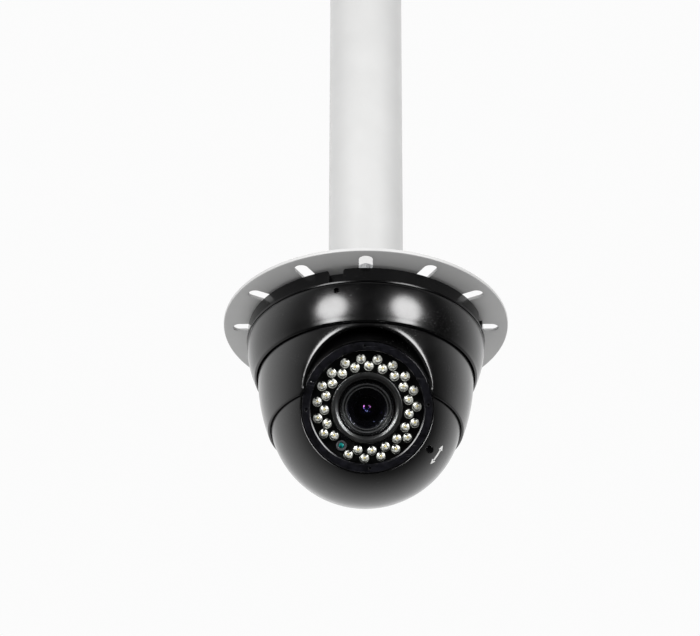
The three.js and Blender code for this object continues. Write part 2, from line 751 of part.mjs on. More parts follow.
const lensShroud = turned(
  [
    [SHROUD.bore, SHROUD.bottom],
    [SHROUD.outer, SHROUD.bottom],
    [SHROUD.outer, SHROUD.top],
    [SHROUD.mouth, SHROUD.top],
    [SHROUD.bore, SHROUD.throat],
  ],
  MID_SEGMENTS,
);

const lensBarrel = turned(
  [
    [0, BARREL.end],
    [BARREL.spigot, BARREL.end],
    [BARREL.spigot, BARREL.rear],
    [BARREL.radius, BARREL.rear],
    [BARREL.radius, BARREL.top - BARREL.chamfer],
    [BARREL.radius - BARREL.chamfer, BARREL.top],
    [BARREL_MOUTH.outer, BARREL.top],
    [BARREL_MOUTH.inner, BARREL.top - BARREL_MOUTH.depth],
    [BARREL_STEP.outer, BARREL.top - BARREL_STEP.depth],
    [BARREL_STEP.inner, BARREL.glassSeat],
    [0, BARREL.glassSeat],
  ],
  MID_SEGMENTS,
);

const frontGlass = turned(
  [
    [0, BARREL.glassSeat + GAP],
    [FRONT_GLASS.radius, BARREL.glassSeat + GAP],
    [FRONT_GLASS.radius, FRONT_GLASS.edgeTop],
    [FRONT_GLASS.shoulderRadius, FRONT_GLASS.shoulder],
    [0, FRONT_GLASS.crown],
  ],
  MID_SEGMENTS,
);

addPiece(ballFrame, 'lens_shroud', lensShroud, rubber);
addPiece(ballFrame, 'lens_barrel', lensBarrel, darkPlastic);
addPiece(ballFrame, 'lens_front_glass', frontGlass, lensGlass);

// ---------------------------------------------------------------- adjusters

// A toothed disc with straight-sided teeth thin enough to turn freely. A tooth is centred on +X.
function toothedDisc(teeth, low, high) {
  const pitchRadius = (GEAR_MODULE * teeth) / 2;
  const tip = pitchRadius + TOOTH.addendum * GEAR_MODULE;
  const root = pitchRadius - TOOTH.dedendum * GEAR_MODULE;
  const outline = new THREE.Shape();
  bearings(teeth).forEach((angle, i) => {
    const corner = (radius, side) => [
      radius * Math.cos(radians(angle)) - side * Math.sin(radians(angle)),
      radius * Math.sin(radians(angle)) + side * Math.cos(radians(angle)),
    ];
    if (i === 0) outline.moveTo(...corner(root, -TOOTH.halfRoot));
    else outline.lineTo(...corner(root, -TOOTH.halfRoot));
    outline.lineTo(...corner(tip, -TOOTH.halfTip));
    outline.lineTo(...corner(tip, TOOTH.halfTip));
    outline.lineTo(...corner(root, TOOTH.halfRoot));
  });
  outline.closePath();
  return new THREE.ExtrudeGeometry(outline, { depth: high - low, bevelEnabled: false }).translate(0, 0, low);
}

// The ring that turns on the lens barrel, with a tooth pointing at its adjuster.
const lensGear = ({ angle, bottom, top }) =>
  cut(
    toothedDisc(GEAR_TEETH, bottom, top),
    rod(BARREL.radius + 2 * GAP, bottom - PAST, top + PAST, MID_SEGMENTS),
  ).rotateZ(radians(angle));

// The adjuster: a slotted shaft and its pinion, with a tooth gap facing the lens.
function adjusterScrew({ angle, bottom, top, shaftEnd }) {
  const { shaft: shaftRadius, head, headHeight, top: end } = ADJUSTER;
  const overlap = 0.5;
  const pinion = toothedDisc(
    PINION_TEETH,
    bottom - overlap,
    top + overlap,
  ).rotateZ(Math.PI + Math.PI / PINION_TEETH);
  const shaft = rod(shaftRadius, shaftEnd, end - headHeight / 2);
  const cap = rod(head, end - headHeight, end);
  const slot = box(
    2 * (head + PAST),
    ADJUSTER_SLOT.width,
    ADJUSTER_SLOT.depth + PAST,
    end - ADJUSTER_SLOT.depth,
  );
  return placed(cut(join(shaft, pinion, cap), slot), ADJUSTER.circle, angle);
}

addPiece(ballFrame, 'focus_gear', lensGear(FOCUS), acetal);
addPiece(ballFrame, 'focus_screw', adjusterScrew(FOCUS), zincSteel);
addPiece(ballFrame, 'zoom_gear', lensGear(ZOOM), acetal);
addPiece(ballFrame, 'zoom_screw', adjusterScrew(ZOOM), zincSteel);

// ---------------------------------------------------------------- frame and boards inside the ball

function chassisPlate() {
  const { radius, top, bottom, bore } = CHASSIS;
  const plate = ring(bore, radius, bottom, top, MID_SEGMENTS);
  const standoffs = STANDOFF.angles.map((angle) =>
    placed(rod(STANDOFF.radius, (bottom + top) / 2, LED_BOARD.bottom - GAP), STANDOFF.circle, angle),
  );
  const screwHoles = CHASSIS_SCREW.angles.map((angle) =>
    placed(rod(CHASSIS_SCREW.shank + GAP, bottom - PAST, top + PAST), CHASSIS_SCREW.circle, angle),
  );
  const shaftHoles = adjusterHoles(ADJUSTER.shaft + GAP, bottom - PAST, top + PAST);
  return cut(join(plate, ...standoffs), ...screwHoles, ...shaftHoles);
}

const chassisScrew = () =>
  join(
    rod(CHASSIS_SCREW.head, CHASSIS.bottom - GAP - CHASSIS_SCREW.headHeight, CHASSIS.bottom - GAP),
    rod(CHASSIS_SCREW.shank, CHASSIS.bottom - PAST, CHASSIS_SCREW.tip),
  );

function rearPlate() {
  const { radius, top, bottom, bore } = REAR_PLATE;
  const posts = POST.angles.map((angle) =>
    placed(rod(POST.radius, (bottom + top) / 2, CHASSIS.bottom - GAP), POST.circle, angle),
  );
  return join(ring(bore, radius, bottom, top, MID_SEGMENTS), ...posts);
}

function mainBoard() {
  const { side, top, thickness, postSpacing, postRadius } = MAIN_BOARD;
  const reach = postSpacing / Math.SQRT2;
  const posts = bearings(4, 45).map((angle) =>
    placed(rod(postRadius, top - thickness / 2, sensorBoardBottom - GAP), reach, angle),
  );
  return join(box(side, side, thickness, top - thickness), ...posts);
}

const mountBottom = REAR_PLATE.bottom - GAP - LENS_MOUNT.depth;
const sensorBoardTop = mountBottom - GAP;
const sensorBoardBottom = sensorBoardTop - SENSOR_BOARD.thickness;
const lensMount = cut(
  box(LENS_MOUNT.side, LENS_MOUNT.side, LENS_MOUNT.depth, mountBottom),
  rod(LENS_MOUNT.bore, mountBottom - PAST, REAR_PLATE.bottom, MID_SEGMENTS),
);

addPiece(ballFrame, 'chassis_plate', chassisPlate(), zincSteel);
CHASSIS_SCREW.angles.forEach((angle, i) => {
  addPiece(
    ballFrame,
    `chassis_screw_${i + 1}`,
    placed(chassisScrew(), CHASSIS_SCREW.circle, angle),
    zincSteel,
  );
});
addPiece(ballFrame, 'rear_plate', rearPlate(), zincSteel);
addPiece(ballFrame, 'lens_mount', lensMount, darkPlastic);
addPiece(
  ballFrame,
  'sensor_board',
  box(SENSOR_BOARD.side, SENSOR_BOARD.side, SENSOR_BOARD.thickness, sensorBoardBottom),
  boardGreen,
);
addPiece(
  ballFrame,
  'image_sensor',
  box(IMAGE_SENSOR.width, IMAGE_SENSOR.height, IMAGE_SENSOR.thickness, sensorBoardTop + GAP),
  lensGlass,
);
addPiece(ballFrame, 'main_board', mainBoard(), boardGreen);

export default part;
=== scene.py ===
"""The looks of a dome camera on a pendant tube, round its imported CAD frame. Lengths are millimetres."""

import json
from math import asin, atan2, ceil, cos, degrees, hypot, pi, radians, sin, sqrt, tan

import bmesh
import bpy
from mathutils import Matrix, Vector


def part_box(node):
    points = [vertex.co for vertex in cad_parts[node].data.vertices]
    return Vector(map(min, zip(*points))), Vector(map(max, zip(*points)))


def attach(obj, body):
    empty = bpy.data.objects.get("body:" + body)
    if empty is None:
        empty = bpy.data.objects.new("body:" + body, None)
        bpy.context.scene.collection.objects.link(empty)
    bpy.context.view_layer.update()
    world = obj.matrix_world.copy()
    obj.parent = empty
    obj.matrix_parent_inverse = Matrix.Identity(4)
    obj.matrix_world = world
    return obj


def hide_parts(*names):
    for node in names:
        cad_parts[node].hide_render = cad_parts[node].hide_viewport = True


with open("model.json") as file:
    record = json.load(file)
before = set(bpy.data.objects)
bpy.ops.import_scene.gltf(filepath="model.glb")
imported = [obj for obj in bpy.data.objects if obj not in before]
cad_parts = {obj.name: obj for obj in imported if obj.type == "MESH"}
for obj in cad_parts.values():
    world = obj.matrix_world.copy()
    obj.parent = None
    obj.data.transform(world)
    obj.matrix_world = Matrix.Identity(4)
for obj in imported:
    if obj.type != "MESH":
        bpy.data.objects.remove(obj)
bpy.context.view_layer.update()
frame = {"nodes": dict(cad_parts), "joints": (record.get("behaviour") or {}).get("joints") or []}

# -------- the frame's places

MM = 0.001
JOINTS = {joint["name"]: joint for joint in frame["joints"]}
BALL_CENTRE = Vector(JOINTS["tilt"]["pos_m"]) / MM
OPTICAL_AXIS = Vector(JOINTS["roll"]["axis"])
FLANGE_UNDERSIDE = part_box("mount_flange")[0].z / MM

ROOM = Matrix.Identity(4)
HUNG = Matrix.Translation((0, 0, FLANGE_UNDERSIDE))
BALL_TURN = atan2(-OPTICAL_AXIS.y, OPTICAL_AXIS.z)
BALL = Matrix.Translation(BALL_CENTRE) @ Matrix.Rotation(BALL_TURN, 4, "X")
BALL_HEIGHT = BALL_CENTRE.z - FLANGE_UNDERSIDE

# -------- driving dimensions

GAP = 0.3
OVERCUT = 1  # how far a cutting shape reaches past the face that it cuts
FINE = 192  # sides of the large turned pieces
MEDIUM = 96
LAMP = 28
SMALL = 40
COARSE = 16

PLATE = {"radius": 55, "thickness": 5, "circle": 42, "hole": 3.3, "sink": 5.6, "bearing": 45}
CABLE_HOLE = 18.5
TUBE = {"outer": 21.2, "inner": 19.2}
SOCKET = {"outer": 27, "depth": 20}
FLANGE = {"radius": 80, "thickness": 2, "collar": 25.5, "collar_top": 20}
SLOTS = {"count": 12, "width": 7.5, "inner_end": 49.5, "outer_end": 70.75, "bearing": -1.25}
GRUB = {"count": 3, "radius": 2.1, "socket": 1.1, "sunk": 0.4}
BOLT = {"count": 4, "circle": 51.6, "washer": 5.5, "washer_height": 1.2, "head": 5, "head_height": 4,
        "hexagon": 4.4, "shank": 2.3, "end": -12}
BOSS = {"radius": 4.5, "end": -13.5, "hole_end": -12.5}

BASE = {"radius": 66.2, "top": -2, "floor": -4.5, "bottom": -11.4, "lip": 66.9, "lean": 0.2,
        "opening": 34, "inside": 60.2}
SPIGOT = {"radius": 63.3, "bottom": -19.3}
NOTCH = {"count": 4, "width": 8, "inner_face": 61.0, "bottom": -10.4, "bearing": -15.5, "corner": 0.8,
         "flare": 2.0, "reach": 2.5}
SEAL_GROOVE = {"radius": 62.2, "top": -12.1, "bottom": -13.9}
COVER = {"top": -11.7, "bore": 63.7, "rim": 61.1, "rim_height": -34.1, "lip_bore": 60.7, "ledge": -25.6,
         "pocket": 62.9}
COVER_ARC = {"radius": 56, "crown": 66.7, "centre": -11}
COVER_SCREW = {"count": 3, "radius": 1.35, "height": -15.8, "bearing": -15.25, "tip": 61.3, "head": 64.4,
               "socket": 0.75}

PAN_FLANGE = {"radius": 62.3, "top": -21.6, "bottom": -24, "round": 0.3}
PAN_NECK = 60.2
PAN_ARC = {"radius": 107, "offset": -46.8, "centre": -32}
PAN_RIM = -67.8
PAN_BORE = {"upper": 58.2, "upper_end": -34, "lower": 57.2, "lower_end": -42}
ARCH = {"radius": 35.2, "pitch": 16, "corner": 3.6, "roll": 3.6, "depth": 0.8, "fade_low": 3,
        "fade_height": 12}
SEAT = {"low": 54.4, "high": 55.75, "step": -5.2}

BALL_RADIUS = 54
WALL = 2.2
SPLIT = -9
REAR = {"radius": 53.8, "back": -38, "wall": 2}
JOURNAL = {"outer": 9, "inner": 6, "end": -46}
BALL_SCREW = {"circle": 47.5, "angles": (87, 207, 327), "boss": 4.5, "boss_top": 0.5, "hole": 1.8,
              "hole_top": -1.2}
POST = {"circle": 41, "angles": (12, 102, 192, 282), "radius": 3.5, "low": 18.3, "high": 30.2,
        "hole": 1.5, "hole_low": 18, "hole_high": 26}
ADJUSTER = {"circle": 41, "hole": 2.2, "angles": (-33, 147), "low": 20, "high": 60}
MARK = {"circle": 46.2, "angle": -33, "length": 12.4, "line": 0.42, "head": 1.15, "head_length": 2.9,
        "height": 0.06, "tip": 0.02}
TILT_PIN = {"radius": 2.2, "inner": 54.3, "outer": 56.8}

BEZEL = {"outer": 35.6, "inner": 31, "top": 40.3, "bottom": 37.9}
BEZEL_HOLE = {"circle": 33.3, "radius": 0.85, "depth": 1.2, "turn": 3, "sides": 20}
BEVEL = {"width": 0.75, "slope": 0.47}  # the narrow bevels that lean 25 degrees towards the lens
WINDOW = {"radius": 35.6, "top": 37.6, "bottom": 35.6}
SHELF = {"radius": 36, "bore": 31.5, "top": 34.3, "thickness": 2, "lip": 36.75, "lip_width": 0.5}
LED = {"radius": 2.5, "rim": 2.75, "base": 27.3, "body": 32.4, "core": 2.38, "per_turn": 19}
LED_CIRCLES = (
    {"circle": 27.35, "start": 97.3, "missing": 12},
    {"circle": 23.28, "start": 87.9, "missing": 11},
)
LED_TURN = {"most": 26, "step": 7.3}  # each lamp is turned a little, by up to this many degrees
# Thin dark crescents over each lamp's core, one at its gap and one at its post: painted shadow.
LED_GAP_SHADOW = {"in": 0.3, "up": 0.7, "middle": -95, "half_span": 66, "thickness": 0.34}
LED_POST_SHADOW = {"in": 0.5, "up": 0.9, "middle": 90, "half_span": 27, "thickness": 0.5}
PHOTOCELL = {"circle": 24.7, "angle": 236.2, "radius": 2.9, "window": 1.6, "top": 31}
LED_BOARD = {"outer": 33.2, "inner": 19.8, "top": 27, "bottom": 25.4}
SHROUD = {"outer": 19.4, "crest": 17.3, "mouth": 15.7, "bore": 15.5, "top": 35.2, "throat": 30,
          "bottom": 22}
BARREL = {"radius": 15.2, "top": 31, "rear": -2, "spigot": 11.5, "end": -8}
BARREL_STEPS = (  # radius, height above the barrel's top, fillet: down the steps to the front glass
    (14.4, 0, 0.15), (14.15, -0.12, 0.05), (13.9, -1.3, 0.2), (12.5, -1.3, 0.12), (12.3, -1.4, 0.05),
    (12.1, -2.6, 0.2), (11.2, -2.6, 0.1), (11.2, -4, 0), (10.2, -4.4, 0.1), (7.6, -7.0, 0.1),
    (6.8, -13.2, 0.1),
)
TRIM_RINGS = (("lens_trim_inner", 11.25, 11.9, -2.5), ("lens_trim_outer", 12.8, 13.7, -1.2))
TRIM_HEIGHT = 0.35
FRONT_GLASS = {"radius": 11, "bottom": 27.3, "edge_top": 28.6, "crown": 29.6}

FLOOR = {"height": -2.8, "half_size": 14}  # metres
WORLD = {"behind": (-0.16, 0.86, 0.485), "dim_at": -0.36, "bright_at": 0.62, "dim": 0.02,
         "bright": 1.2, "fill": 0.6, "fill_full": -0.7, "seen": 0.97}
SOFTBOX = {"distance": 1.6, "size": 0.8, "target": (0, -0.05), "below_flange": 0.03}  # metres
SOFTBOXES = (("softbox_left", -33, 2.8, 26.5), ("softbox_right", 36.5, 3.3, 26))
CAMERA = {"sensor": 36, "focal": 178.13, "shift": -0.0217, "eye": (-0.0366, -1.6612),
          "below_flange": 1.0230, "tilt": 121.78, "turn": -1.25}  # millimetres, metres and degrees

# -------- mesh helpers


def link(item):
    bpy.context.scene.collection.objects.link(item)


def arc_points(centre, radius, start, end, step=7.5):
    """Points on a circle from one angle to another, in degrees."""
    count = max(2, ceil(abs(end - start) / step))
    angles = [radians(start + (end - start) * i / count) for i in range(count + 1)]
    return [(centre[0] + radius * cos(a), centre[1] + radius * sin(a)) for a in angles]


def filleted(points):
    """An outline whose corners are rounded where a point has a third number, its radius."""
    made = []
    count = len(points)
    for i, point in enumerate(points):
        here = Vector(point[:2])
        radius = point[2] if len(point) > 2 else 0
        if radius == 0:
            made.append(tuple(here))
            continue
        back = (Vector(points[i - 1][:2]) - here).normalized()
        ahead = (Vector(points[(i + 1) % count][:2]) - here).normalized()
        half = back.angle(ahead) / 2
        reach = radius / tan(half)
        centre = here + (back + ahead).normalized() * (radius / sin(half))
        first, last = here + back * reach - centre, here + ahead * reach - centre
        turn = first.angle_signed(last)
        steps = max(2, ceil(abs(degrees(turn)) / 15))
        for k in range(steps + 1):
            made.append(tuple(centre + Matrix.Rotation(-turn * k / steps, 2) @ first))
    return made


def turned(profile, segments):
    """A turned solid about Z from [radius, height] points, which may start and end on the axis."""
    bm = bmesh.new()
    rings = []
    for radius, height in profile:
        if radius < 1e-6:
            rings.append([bm.verts.new((0, 0, height))])
            continue
        angles = [2 * pi * k / segments for k in range(segments)]
        rings.append([bm.verts.new((radius * cos(a), radius * sin(a), height)) for a in angles])
    pairs = list(zip(rings, rings[1:]))
    if len(rings[0]) > 1:
        pairs.append((rings[-1], rings[0]))
    for first, second in pairs:
        for k in range(segments):
            after = (k + 1) % segments
            if len(first) == 1:
                bm.faces.new((first[0], second[after], second[k]))
            elif len(second) == 1:
                bm.faces.new((first[k], first[after], second[0]))
            else:
                bm.faces.new((first[k], first[after], second[after], second[k]))
    bmesh.ops.recalc_face_normals(bm, faces=bm.faces)
    return bm


def rod(radius, low, high, segments=SMALL, bevel=0.0):
    """A solid cylinder about Z, with its two edges rounded."""
    corner = [bevel] if bevel else []
    profile = filleted([(0, low), (radius, low, *corner), (radius, high, *corner), (0, high)])
    return turned(profile, segments)


def ring(inner, outer, low, high, segments=MEDIUM, bevel=0.2):
    """A ring of rectangular section about Z, with rounded edges."""
    corners = [(inner, low), (outer, low), (outer, high), (inner, high)]
    return turned(filleted([(*corner, bevel) for corner in corners]), segments)


def skin(rows):
    """A closed solid through rows of points, each joined to the next, with a face on each end row."""
    bm = bmesh.new()
    rows = [[bm.verts.new(point) for point in row] for row in rows]
    for near, far in zip(rows, rows[1:]):
        for i in range(len(near)):
            after = (i + 1) % len(near)
            bm.faces.new((near[i], near[after], far[after], far[i]))
    bm.faces.new(rows[0])
    bm.faces.new(rows[-1])
    bmesh.ops.recalc_face_normals(bm, faces=bm.faces)
    return bm


def prism(outline, low, high, flare=0.0, flare_height=0.4):
    """An outline pushed along Z. A flare widens both ends, which leaves a chamfer where it cuts."""
    centre = sum((Vector(p) for p in outline), Vector((0, 0))) / len(outline)
    levels = [(low, 0), (high, 0)]
    if flare:
        levels = [(low, flare), (low + flare_height, 0), (high - flare_height, 0), (high, flare)]
    rows = []
    for height, widen in levels:
        row = []
        for i, point in enumerate(outline):
            here = Vector(point)
            tangent = Vector(outline[(i + 1) % len(outline)]) - Vector(outline[i - 1])
            outward = Vector((tangent.y, -tangent.x)).normalized()
            if outward.dot(here - centre) < 0:
                outward = -outward
            moved = here + outward * widen
            row.append((moved.x, moved.y, height))
        rows.append(row)
    return skin(rows)


def stadium(centre_low, centre_high, half_width):
    """The outline of a slot along Y."""
    upper = arc_points((0, centre_high), half_width, 0, 180, 15)
    return upper + arc_points((0, centre_low), half_width, 180, 360, 15)


def hexagon(radius):
    return arc_points((0, 0), radius, 0, 360, 60)[:-1]


def gather(*parts):
    """Several meshes as one, where a part may be a pair of a mesh and its matrix."""
    whole = bmesh.new()
    for part in parts:
        bm, matrix = part if isinstance(part, tuple) else (part, Matrix.Identity(4))
        bm.transform(matrix)
        scratch = bpy.data.meshes.new("scratch")
        bm.to_mesh(scratch)
        bm.free()
        whole.from_mesh(scratch)
        bpy.data.meshes.remove(scratch)
    return whole


def turn_z(angle):
    return Matrix.Rotation(radians(angle), 4, "Z")


def around(radius, angle):
    """Out along +X by a radius, then turned to an angle about Z."""
    return turn_z(angle) @ Matrix.Translation((radius, 0, 0))


def on_bearing(bearing, height=0):
    """Lays +Z level along a bearing, which is counted from the front, -Y, towards +X."""
    turn = turn_z(bearing) @ Matrix.Rotation(pi / 2, 4, "X")
    return Matrix.Translation((0, 0, height)) @ turn


def bearings(count, first=0.0):
    return [first + 360 * k / count for k in range(count)]


def boolean(bm, other, operation):
    """The mesh joined with another or cut by it."""
    objects = []
    for name, source in (("scratch_target", bm), ("scratch_tool", other)):
        mesh = bpy.data.meshes.new(name)
        source.to_mesh(mesh)
        source.free()
        objects.append(bpy.data.objects.new(name, mesh))
        link(objects[-1])
    target, tool = objects
    modifier = target.modifiers.new("cut", "BOOLEAN")
    modifier.operation = operation
    modifier.solver = "EXACT"
    modifier.use_self = operation == "UNION"
    modifier.object = tool
    depsgraph = bpy.context.evaluated_depsgraph_get()
    made = bmesh.new()
    made.from_object(target, depsgraph)
    for scratch in objects:
        mesh = scratch.data
        bpy.data.objects.remove(scratch)
        bpy.data.meshes.remove(mesh)
    bmesh.ops.remove_doubles(made, verts=made.verts, dist=1e-4)
    return made


def cut(bm, *tools):
    return boolean(bm, gather(*tools), "DIFFERENCE")


def join(bm, *others):
    return boolean(bm, gather(*others), "UNION")


def add_piece(name, bm, place, material, body, nodes=(), sharp=32.0):
    """A finished piece in metres that rides on a body and stands for CAD nodes."""
    bm.transform(Matrix.Scale(MM, 4) @ place)
    bm.normal_update()
    for face in bm.faces:
        face.smooth = True
    for edge in bm.edges:
        edge.smooth = edge.is_manifold and edge.calc_face_angle(0) < radians(sharp)
    mesh = bpy.data.meshes.new(name)
    bm.to_mesh(mesh)
    bm.free()
    mesh.materials.append(material)
    piece = bpy.data.objects.new(name, mesh)
    link(piece)
    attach(piece, body)
    if nodes:
        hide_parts(*nodes)
    return piece


# -------- materials


def add_node(tree, kind, inputs=None, **settings):
    """A node with its settings. An input is a constant or another node's output."""
    node = tree.nodes.new("ShaderNode" + kind)
    for key, value in settings.items():
        setattr(node, key, value)
    for key, value in (inputs or {}).items():
        if isinstance(value, bpy.types.NodeSocket):
            tree.links.new(value, node.inputs[key])
        else:
            node.inputs[key].default_value = value
    return node


def new_material(name):
    material = bpy.data.materials.new(name)
    material.use_nodes = True
    tree = material.node_tree
    tree.nodes.clear()
    output = add_node(tree, "OutputMaterial")
    coords = add_node(tree, "TexCoord").outputs["Object"]
    return material, tree, output, coords


def noise_of(tree, coords, scale, detail=3.0, roughness=0.55):
    inputs = {"Vector": coords, "Scale": scale, "Detail": detail, "Roughness": roughness}
    return add_node(tree, "TexNoise", inputs).outputs["Fac"]


def mapped(tree, value, low, high, to_low=0.0, to_high=1.0):
    inputs = {"Value": value, "From Min": low, "From Max": high, "To Min": to_low, "To Max": to_high}
    return add_node(tree, "MapRange", inputs).outputs["Result"]


def maths(tree, operation, first, second):
    return add_node(tree, "Math", {0: first, 1: second}, operation=operation).outputs[0]


def mixed(tree, factor, first, second):
    return add_node(tree, "Mix", {0: factor, 6: first, 7: second}, data_type="RGBA").outputs[2]


def grey(value):
    return (value, value, value, 1)


def tone(colour):
    """A colour as it is, or the grey of a plain number."""
    return colour if isinstance(colour, tuple) else grey(colour)


def bump_of(tree, height, distance):
    inputs = {"Height": height, "Distance": distance * MM, "Strength": 1.0}
    return add_node(tree, "Bump", inputs).outputs[0]


def scratches(tree, coords, density):
    """A mask of fine scratches in patches, from noise stretched along two directions."""
    masks = []
    for turn in ((0.4, 0.9, 0.2), (1.3, -0.5, 0.7)):
        stretch = add_node(tree, "Mapping", {"Vector": coords, "Rotation": turn, "Scale": (1, 34, 34)})
        lines = noise_of(tree, stretch.outputs[0], 75, 2.0, 0.5)
        masks.append(mapped(tree, lines, 0.74 - density, 0.78 - density))
    both = maths(tree, "MAXIMUM", *masks)
    patches = mapped(tree, noise_of(tree, coords, 48, 2.0), 0.5, 0.66)
    return maths(tree, "MULTIPLY", both, patches)


def dust_specks(tree, coords, spacing, size, share):
    """A mask of small round specks: a share of the cells of this spacing in mm hold one."""
    cells = add_node(tree, "TexVoronoi", {"Vector": coords, "Scale": 1000 / spacing})
    near = mapped(tree, cells.outputs["Distance"], size / spacing, 0.5 * size / spacing)
    colour = add_node(tree, "SeparateColor", {"Color": cells.outputs["Color"]}).outputs[0]
    chosen = mapped(tree, colour, 1 - share, 1 - share + 0.01)
    return maths(tree, "MULTIPLY", near, chosen)


def edge_mask(tree, coords, radius):
    """A mask of edges for their worn colour, which is partly painted highlight: where a rounded normal
    leaves the surface's own, broken up by noise.
    """
    rounded = add_node(tree, "Bevel", {"Radius": radius * MM}, samples=4).outputs[0]
    own = add_node(tree, "NewGeometry").outputs["Normal"]
    dot = add_node(tree, "VectorMath", {0: rounded, 1: own}, operation="DOT_PRODUCT").outputs["Value"]
    edges = mapped(tree, dot, 0.985, 0.9)
    broken = mapped(tree, noise_of(tree, coords, 420, 4.0, 0.7), 0.46, 0.62)
    return maths(tree, "MULTIPLY", edges, broken)


def surface(name, colour, rough, metallic=0.0, tint=0.15, grain=(1500, 0.004), edge_wear_and_highlight=None, scratch=None,
            dust=None, level=0.5, broad=40.0, painted_glow=None):
    """A material with colour and roughness variation, a fine bump, scratches, dust and worn edges.

    colour is linear RGB, rough a low and high roughness, grain a noise scale and a height in mm.
    edge_wear_and_highlight is a colour and an edge radius for worn edges; where the colour is lighter
    than the surface's, it also paints highlight lines along the edges.
    scratch is a colour and a density, and dust a colour, a spacing, a size and a share.
    painted_glow is painted light: an emission that stands in for the light that a lens over the surface
    gathers onto it, and grows with height: two heights and two strengths.
    """
    material, tree, output, coords = new_material(name)
    patches = noise_of(tree, coords, broad)
    darker = tuple(c * (1 - tint) for c in colour) + (1,)
    lighter = tuple(c * (1 + tint) for c in colour) + (1,)
    shade = mixed(tree, mapped(tree, patches, 0.35, 0.65), darker, lighter)
    roughness = mapped(tree, noise_of(tree, coords, broad * 2.6, 4.0), 0.3, 0.7, *rough)
    height = noise_of(tree, coords, grain[0], 2.0)
    if scratch:
        mask = scratches(tree, coords, scratch[1])
        shade = mixed(tree, mask, shade, tone(scratch[0]))
        roughness = maths(tree, "ADD", roughness, maths(tree, "MULTIPLY", mask, 0.18))
        height = maths(tree, "SUBTRACT", height, mask)
    # edges in their own colour: where it is lighter than the surface, partly wear and partly painted
    # highlight lines
    if edge_wear_and_highlight:
        mask = edge_mask(tree, coords, edge_wear_and_highlight[1])
        shade = mixed(tree, mask, shade, tone(edge_wear_and_highlight[0]))
    if dust:
        mask = dust_specks(tree, coords, *dust[1:])
        shade = mixed(tree, mask, shade, tone(dust[0]))
        roughness = maths(tree, "ADD", roughness, maths(tree, "MULTIPLY", mask, 0.4))
    bump = bump_of(tree, height, grain[1])
    inputs = {"Base Color": shade, "Roughness": roughness, "Normal": bump}
    inputs.update({"Metallic": metallic, "Specular IOR Level": level})
    # painted light: the surface glows in its own colour, more strongly higher up
    if painted_glow:
        height = add_node(tree, "SeparateXYZ", {"Vector": coords}).outputs["Z"]
        inputs.update({"Emission Color": shade, "Emission Strength": mapped(tree, height, *painted_glow)})
    shader = add_node(tree, "BsdfPrincipled", inputs)
    tree.links.new(shader.outputs[0], output.inputs["Surface"])
    return material


GLASS_IOR = 1.5


def clear(name, tint, gloss, rough, body=0.0):
    """Clear stuff: it reflects by angle, and passes on the rest with a tint and a haze."""
    material, tree, output, coords = new_material(name)
    angle = add_node(tree, "Fresnel", {"IOR": GLASS_IOR}).outputs[0]
    outside = maths(tree, "SUBTRACT", 1.0, add_node(tree, "NewGeometry").outputs["Backfacing"])
    share = maths(tree, "MULTIPLY", maths(tree, "MULTIPLY", angle, gloss), outside)
    roughness = mapped(tree, noise_of(tree, coords, 160, 4.0), 0.3, 0.7, rough * 0.6, rough * 1.6)
    bump = bump_of(tree, noise_of(tree, coords, 700, 2.0), 0.0008)
    mirror = add_node(tree, "BsdfGlossy",
                      {"Color": grey(1), "Roughness": roughness, "Normal": bump})
    smudge = mapped(tree, noise_of(tree, coords, 90, 3.0), 0.4, 0.75, body * 0.5, body * 1.5)
    through = add_node(tree, "BsdfTransparent", {"Color": tint})
    haze = add_node(tree, "BsdfDiffuse", {"Color": grey(0.8)})
    inner = add_node(tree, "MixShader", {0: smudge, 1: through.outputs[0], 2: haze.outputs[0]})
    shader = add_node(tree, "MixShader", {0: share, 1: inner.outputs[0], 2: mirror.outputs[0]})
    tree.links.new(shader.outputs[0], output.inputs["Surface"])
    return material


# Edge colours lighter than the surface mark worn edges and also paint highlight lines along them.
PALE_PAINT = surface("pale_paint", (0.46, 0.46, 0.457), (0.38, 0.5), tint=0.02, grain=(900, 0.012),
                     dust=(0.16, 11, 0.35, 0.2), edge_wear_and_highlight=(0.55, 0.4))
ZINC_STEEL = surface("zinc_steel", (0.60, 0.61, 0.62), (0.22, 0.42), 1.0, tint=0.12, grain=(2200, 0.006),
                     scratch=(0.75, 0.05), edge_wear_and_highlight=(0.4, 0.15), broad=160)
BLACK_SCREW = surface("black_screw", (0.002, 0.002, 0.0024), (0.25, 0.4), tint=0.3, grain=(2500, 0.006),
                      level=0.15, edge_wear_and_highlight=(0.06, 0.12), broad=200)
MATT_BLACK = surface("matt_black", (0.0014, 0.0014, 0.0015), (0.17, 0.22), tint=0.3, grain=(1700, 0.004),
                     level=0.26, scratch=(0.05, 0.03), dust=(0.22, 9, 0.32, 0.1), edge_wear_and_highlight=(0.02, 0.25))
SATIN_BLACK = surface("satin_black", (0.0016, 0.0016, 0.0017), (0.17, 0.23), tint=0.3,
        grain=(1100, 0.003), level=0.57, scratch=(0.06, 0.05), dust=(0.3, 8, 0.3, 0.08),
        edge_wear_and_highlight=(0.02, 0.3))
BEZEL_BLACK = surface("bezel_black", (0.003, 0.003, 0.0042), (0.15, 0.25), tint=0.6, grain=(800, 0.006),
        level=0.42, scratch=(0.1, 0.05), dust=(0.5, 5, 0.3, 0.16), edge_wear_and_highlight=(0.12, 0.3), broad=260)
RUBBER = surface("rubber", (0.012, 0.012, 0.012), (0.6, 0.78), tint=0.2, grain=(2600, 0.02),
                 dust=(0.2, 6, 0.2, 0.1))
SHROUD_RUBBER = surface("shroud_rubber", (0.004, 0.004, 0.004), (0.27, 0.32), tint=0.25,
                        grain=(1500, 0.003), level=0.9, dust=(0.35, 5, 0.22, 0.1), broad=120)
